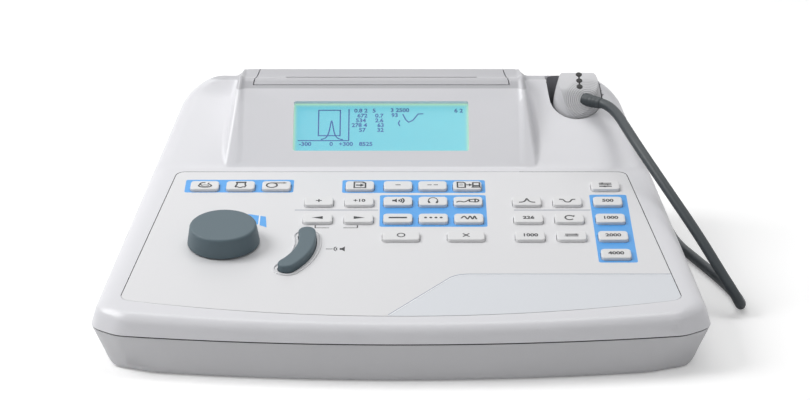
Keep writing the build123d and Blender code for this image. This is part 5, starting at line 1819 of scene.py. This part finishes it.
@dataclass
class Studio:
    """The floor, the lamps, the world and the camera, whose place and sensor are in millimetres."""

    focal: float = 2400.0
    image_width: float = 810.0
    sensor: float = 36.0
    camera_place: tuple[float, float, float] = (2.4, -1456.6, 591.5)
    camera_pitch: float = 20.0
    nearest_seen: float = 0.05
    farthest_seen: float = 50
    aim: tuple[float, float, float] = (0, 0, 0.05)
    fill: float = 0.35
    floor_size: float = 6.0
    floor_glow: float = 0.24
    floor_grain: float = 4 * MM
    floor_tones: tuple[Colour, Colour] = ((0.9, 0.9, 0.9), (0.93, 0.93, 0.93))

    def camera(self) -> None:
        """Set the camera at the place, pitch and focal length estimated for the photograph."""
        data = bpy.data.cameras.new("camera")
        data.sensor_width = self.sensor
        data.lens = self.focal / self.image_width * self.sensor
        data.clip_start = self.nearest_seen
        data.clip_end = self.farthest_seen
        holder = bpy.data.objects.new("camera", data)
        holder.location = [value * MM for value in self.camera_place]
        holder.rotation_euler = (radians(90 - self.camera_pitch), 0, 0)
        bpy.context.scene.collection.objects.link(holder)
        bpy.context.scene.camera = holder

    def lamps(self) -> None:
        """Hang the lamps, one to the left and one above and behind, both facing the object."""
        for lamp in LAMPS:
            data = bpy.data.lights.new(lamp.name, "AREA")
            data.shape = "RECTANGLE"
            data.size, data.size_y = lamp.size
            data.energy = lamp.watts
            holder = bpy.data.objects.new(lamp.name, data)
            holder.location = lamp.place
            heading = Vector(self.aim) - Vector(lamp.place)
            holder.rotation_euler = heading.to_track_quat("-Z", "Y").to_euler()
            bpy.context.scene.collection.objects.link(holder)

    def world(self) -> None:
        """Fill the room with even light, and show it white to the camera and in what mirrors it."""
        world = bpy.data.worlds.new("room")
        world.use_nodes = True
        tree = world.node_tree
        tree.nodes.clear()
        sight = tree.nodes.new("ShaderNodeLightPath")
        fill = tree.nodes.new("ShaderNodeBackground")
        white = tree.nodes.new("ShaderNodeBackground")
        fill.inputs["Strength"].default_value = self.fill
        fill.inputs["Color"].default_value = (1, 1, 1, 1)
        white.inputs["Color"].default_value = (1, 1, 1, 1)
        chosen = tree.nodes.new("ShaderNodeMixShader")
        out = tree.nodes.new("ShaderNodeOutputWorld")
        seen = tree.nodes.new("ShaderNodeMath")
        seen.operation = "MAXIMUM"
        tree.links.new(sight.outputs["Is Camera Ray"], seen.inputs[0])
        tree.links.new(sight.outputs["Is Glossy Ray"], seen.inputs[1])
        tree.links.new(seen.outputs[0], chosen.inputs[0])
        tree.links.new(fill.outputs[0], chosen.inputs[1])
        tree.links.new(white.outputs[0], chosen.inputs[2])
        tree.links.new(chosen.outputs[0], out.inputs["Surface"])
        bpy.context.scene.world = world

    def floor(self) -> None:
        """Lay the pale floor: it takes shadows, and glows a little for the camera alone."""
        mesh = bpy.data.meshes.new("floor")
        half = self.floor_size / 2
        corners = [(-half, -half, 0), (half, -half, 0), (half, half, 0), (-half, half, 0)]
        mesh.from_pydata(corners, [], [(0, 1, 2, 3)])
        holder = bpy.data.objects.new("floor", mesh)
        shader = Shader("floor_paper")
        sight = shader.node("ShaderNodeLightPath")
        tone = shader.mixed(shader.noise(self.floor_grain, 3.0), *self.floor_tones)
        paper = shader.node("ShaderNodeBsdfPrincipled", inputs={"Base Color": tone, "Roughness": 0.9})
        seen = Socket(shader, sight.outputs["Is Camera Ray"])
        strength = (seen * self.floor_glow).output
        glow = shader.node("ShaderNodeEmission", inputs={"Color": (1, 1, 1, 1), "Strength": strength})
        both = shader.node("ShaderNodeAddShader", inputs={0: paper.outputs[0], 1: glow.outputs[0]})
        shader.node("ShaderNodeOutputMaterial", inputs={"Surface": both.outputs[0]})
        mesh.materials.append(shader.material)
        bpy.context.scene.collection.objects.link(holder)
        holder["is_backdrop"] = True

    def build(self) -> None:
        """Set up the room."""
        bpy.context.scene.view_settings.view_transform = "Standard"
        self.camera()
        self.lamps()
        self.world()
        self.floor()


# The CAD nodes that are shown as they are, by their finish
CARRIED = {
    PANEL_FILM: "keypad_overlay",
    DARK_PLASTIC: "lcd_module key_switches printer_mechanism probe_socket phone_jacks power_inlet",
    STEEL: "knob_shaft knob_encoder air_pump case_screws",
    BOARD: "key_board main_board",
    ROLLER_RUBBER: "platen_roller",
    ROLL_PAPER: "paper_roll",
    NOSE_PLASTIC: "probe_nose",
    NICKEL: "probe_plug",
    FOOT_RUBBER: "rubber_feet",
}


@dataclass(frozen=True)
class CaseShape:
    """How the shells' outer walls are eased out to the photographed outline, in metres."""

    front_half: float = 185 * MM
    rear_half: float = 170 * MM
    front_y: float = -148 * MM
    rear_y: float = 148 * MM
    bow: float = 16 * MM
    seam: float = 25.5 * MM
    seam_drop: float = 1.5 * MM
    seam_fade: float = 6 * MM
    foot: float = 2.5 * MM
    foot_drop: float = 1.9 * MM
    foot_round: float = 7 * MM
    foot_fill: float = 0.45
    lean_share: float = 0.364
    draft: float = 10 * MM
    side_growth: float = 3.8 * MM
    corner_fade: float = 40 * MM
    corner_growth: float = 0.3
    low_front_growth: float = 10.5 * MM
    reach: float = 9 * MM
    depth_behind: float = 87.7 * MM
    kink_y: float = DISPLAY_FACE.front_y
    kink_z: float = DISPLAY_FACE.front_z
    shoulder_share: float = 0.4986
    shoulder_growth_share: float = 0.0557
    shoulder_foot: float = 45 * MM
    block_x: float = DISPLAY_FACE.middle_x
    block_half: float = 92.5 * MM
    block_fade: float = 5 * MM
    rear_rise: float = 3.0 * MM
    rear_rise_foot: float = 88 * MM
    rear_rise_from: float = 118 * MM
    rear_rise_over: float = 20 * MM
    cut_shares: tuple[float, ...] = (0, 0.25, 0.5, 0.75, 1)

    @staticmethod
    def _step(share: Array) -> Array:
        """Return a smooth step: 0 up to 0, 1 from 1, and 3s² − 2s³ between."""
        held = np.clip(share, 0, 1)
        return held * held * (3 - 2 * held)

    def cuts(self) -> list[tuple[Vector, Vector]]:
        """List the planes, each by a point and its facing, along which the fades need edges."""
        sides = [
            self.block_x + side * (self.block_half + self.block_fade * share)
            for side in (-1, 1)
            for share in self.cut_shares
        ]
        rises = [self.rear_rise_from + self.rear_rise_over * share for share in self.cut_shares]
        across = [(Vector((place, 0, 0)), Vector((1, 0, 0))) for place in sides]
        return across + [(Vector((0, place, 0)), Vector((0, 1, 0))) for place in rises]

    def eased(self, rows: Array) -> Array:
        """Move the shells' points: walls out, seam and foot down, shoulders and rear edge up.

        Each wall's shift fades with the distance from it, and the side walls' one also towards
        the rear. The shoulders rise in proportion to the way behind the kink, beside the display
        block only; the rear edge rises by a smooth step. Both fade to nothing down the walls.

        Args:
            rows: Rows of X, Y and Z.

        Returns:
            The moved rows.
        """
        x, y, z = rows.T
        low = np.clip((self.seam - z) / (self.seam - self.foot), 0, 1)
        way = np.clip((y - self.front_y - self.bow) / (self.rear_y - self.front_y - self.bow), 0, 1)
        half = self.front_half + (self.rear_half - self.front_half) * way
        under = np.clip(self.foot_round - (z - self.foot), 0, self.foot_round)
        rounding = self.foot_round - np.sqrt(self.foot_round**2 - under**2)
        inset = self.draft * low + rounding + self.lean_share * np.maximum(z - self.seam, 0)
        beside = self._step(1 - (half - inset - np.abs(x)) / self.reach)
        behind = np.maximum(y - self.kink_y, 0)
        growth = self.side_growth * (1 - behind / self.depth_behind)
        front = self.front_y + self.bow * (x / self.front_half) ** 2 + self.draft * low + rounding
        ends = self._step(1 - (self.rear_y - self.draft * low - rounding - y) / self.reach)
        ends = ends - self._step(1 - (y - front) / self.reach)
        share_up = np.clip((z - self.seam) / self.seam_fade, 0, 1)
        dropped = self.seam_drop * (1 - share_up) * (1 - low) + self.foot_drop * low
        shoulder = self.kink_z + behind * self.shoulder_share
        upward = np.clip((z - self.shoulder_foot) / (shoulder - self.shoulder_foot), 0, 1)
        aside = self._step((np.abs(x - self.block_x) - self.block_half) / self.block_fade)
        risen = self._step((y - self.rear_rise_from) / self.rear_rise_over)
        high = np.clip((z - self.rear_rise_foot) / (shoulder - self.rear_rise_foot).clip(self.foot), 0, 1)
        lift = upward * behind * self.shoulder_growth_share * aside + high * risen * self.rear_rise
        from_corner = self._step((half - np.abs(x)) / self.corner_fade)
        inboard = self.corner_growth + (1 - self.corner_growth) * from_corner
        deeper = y + ends * inboard * (self.low_front_growth * low + self.foot_fill * rounding)
        moved = (x + np.sign(x) * beside * growth, deeper, z - dropped + lift)
        return np.column_stack(moved)


@dataclass
class Shells:
    """The moulded shells, shown by smooth copies, and the nodes that stay as they are."""

    nodes: dict[str, bpy.types.Object]
    shape: CaseShape = CaseShape()
    front_reach: float = 0.3 * MM
    front_shift: float = 0.5 * MM

    def build(self) -> None:
        """Copy, smooth and ease the shells, paint shade into the panel's pocket, the seam's groove and the
        cradle, then dress the nodes that stay.
        """
        # Painted shade: dark walls in the panel's pocket and the seam's groove, and a darker cradle well
        top_shade_regions = ((GAP_SHADE_PAINT, in_panel_gap), (CRADLE_SHADE_PAINT, in_cradle))
        for node, name, finish, body, shade_regions in (
            ("upper_case", "upper_shell", CASE_PLASTIC, "base", top_shade_regions),
            ("lower_case", "lower_shell", LOWER_PLASTIC_PAINTED_SHADE, "base", ((GAP_SHADE_PAINT, in_seam),)),
            ("printer_cover", "cover_shell", COVER_PAINTED_SHADE, "paper_lid", ()),
        ):
            cuts = self.shape.cuts()
            mesh = smoothed_copy(self.nodes[node], name, finish, body, cuts).data
            for shade_finish, inside in shade_regions:
                paint_region_shade(mesh, shade_finish, inside)
            if node == "printer_cover":
                move_points(mesh, self._met_at_front)
            move_points(mesh, self.shape.eased)
        self._dress_carried()

    def _met_at_front(self, rows: Array) -> Array:
        """Bring the cover's front edge forward, so that only a hairline shows where it closes."""
        at_front = rows[:, 1] < rows[:, 1].min() + self.front_reach
        rows[at_front, 1] -= self.front_shift
        return rows

    def _dress_carried(self) -> None:
        """Give the nodes that stay as they are their finish."""
        for finish, names in CARRIED.items():
            for name in names.split():
                mesh = self.nodes[name].data
                mesh.materials.clear()
                mesh.materials.append(finish.material())
                log.info("dressed %s", name)


def main() -> list[list[list[float]]]:
    """Load the frame, build and dress every piece, and return the CAD box."""
    logging.basicConfig(level=logging.INFO, format="%(message)s")
    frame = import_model()
    cad_box = [list(corner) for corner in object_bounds()]
    Studio().build()
    Probe().build()
    ProbeCable().build()
    Shells(frame["nodes"]).build()
    PanelPrint().build()
    Keypad().build()
    LevelKnob().build()
    ToneBar().build()
    Display().build()
    return cad_box


if __name__ == "__main__":
    packed_box = main()
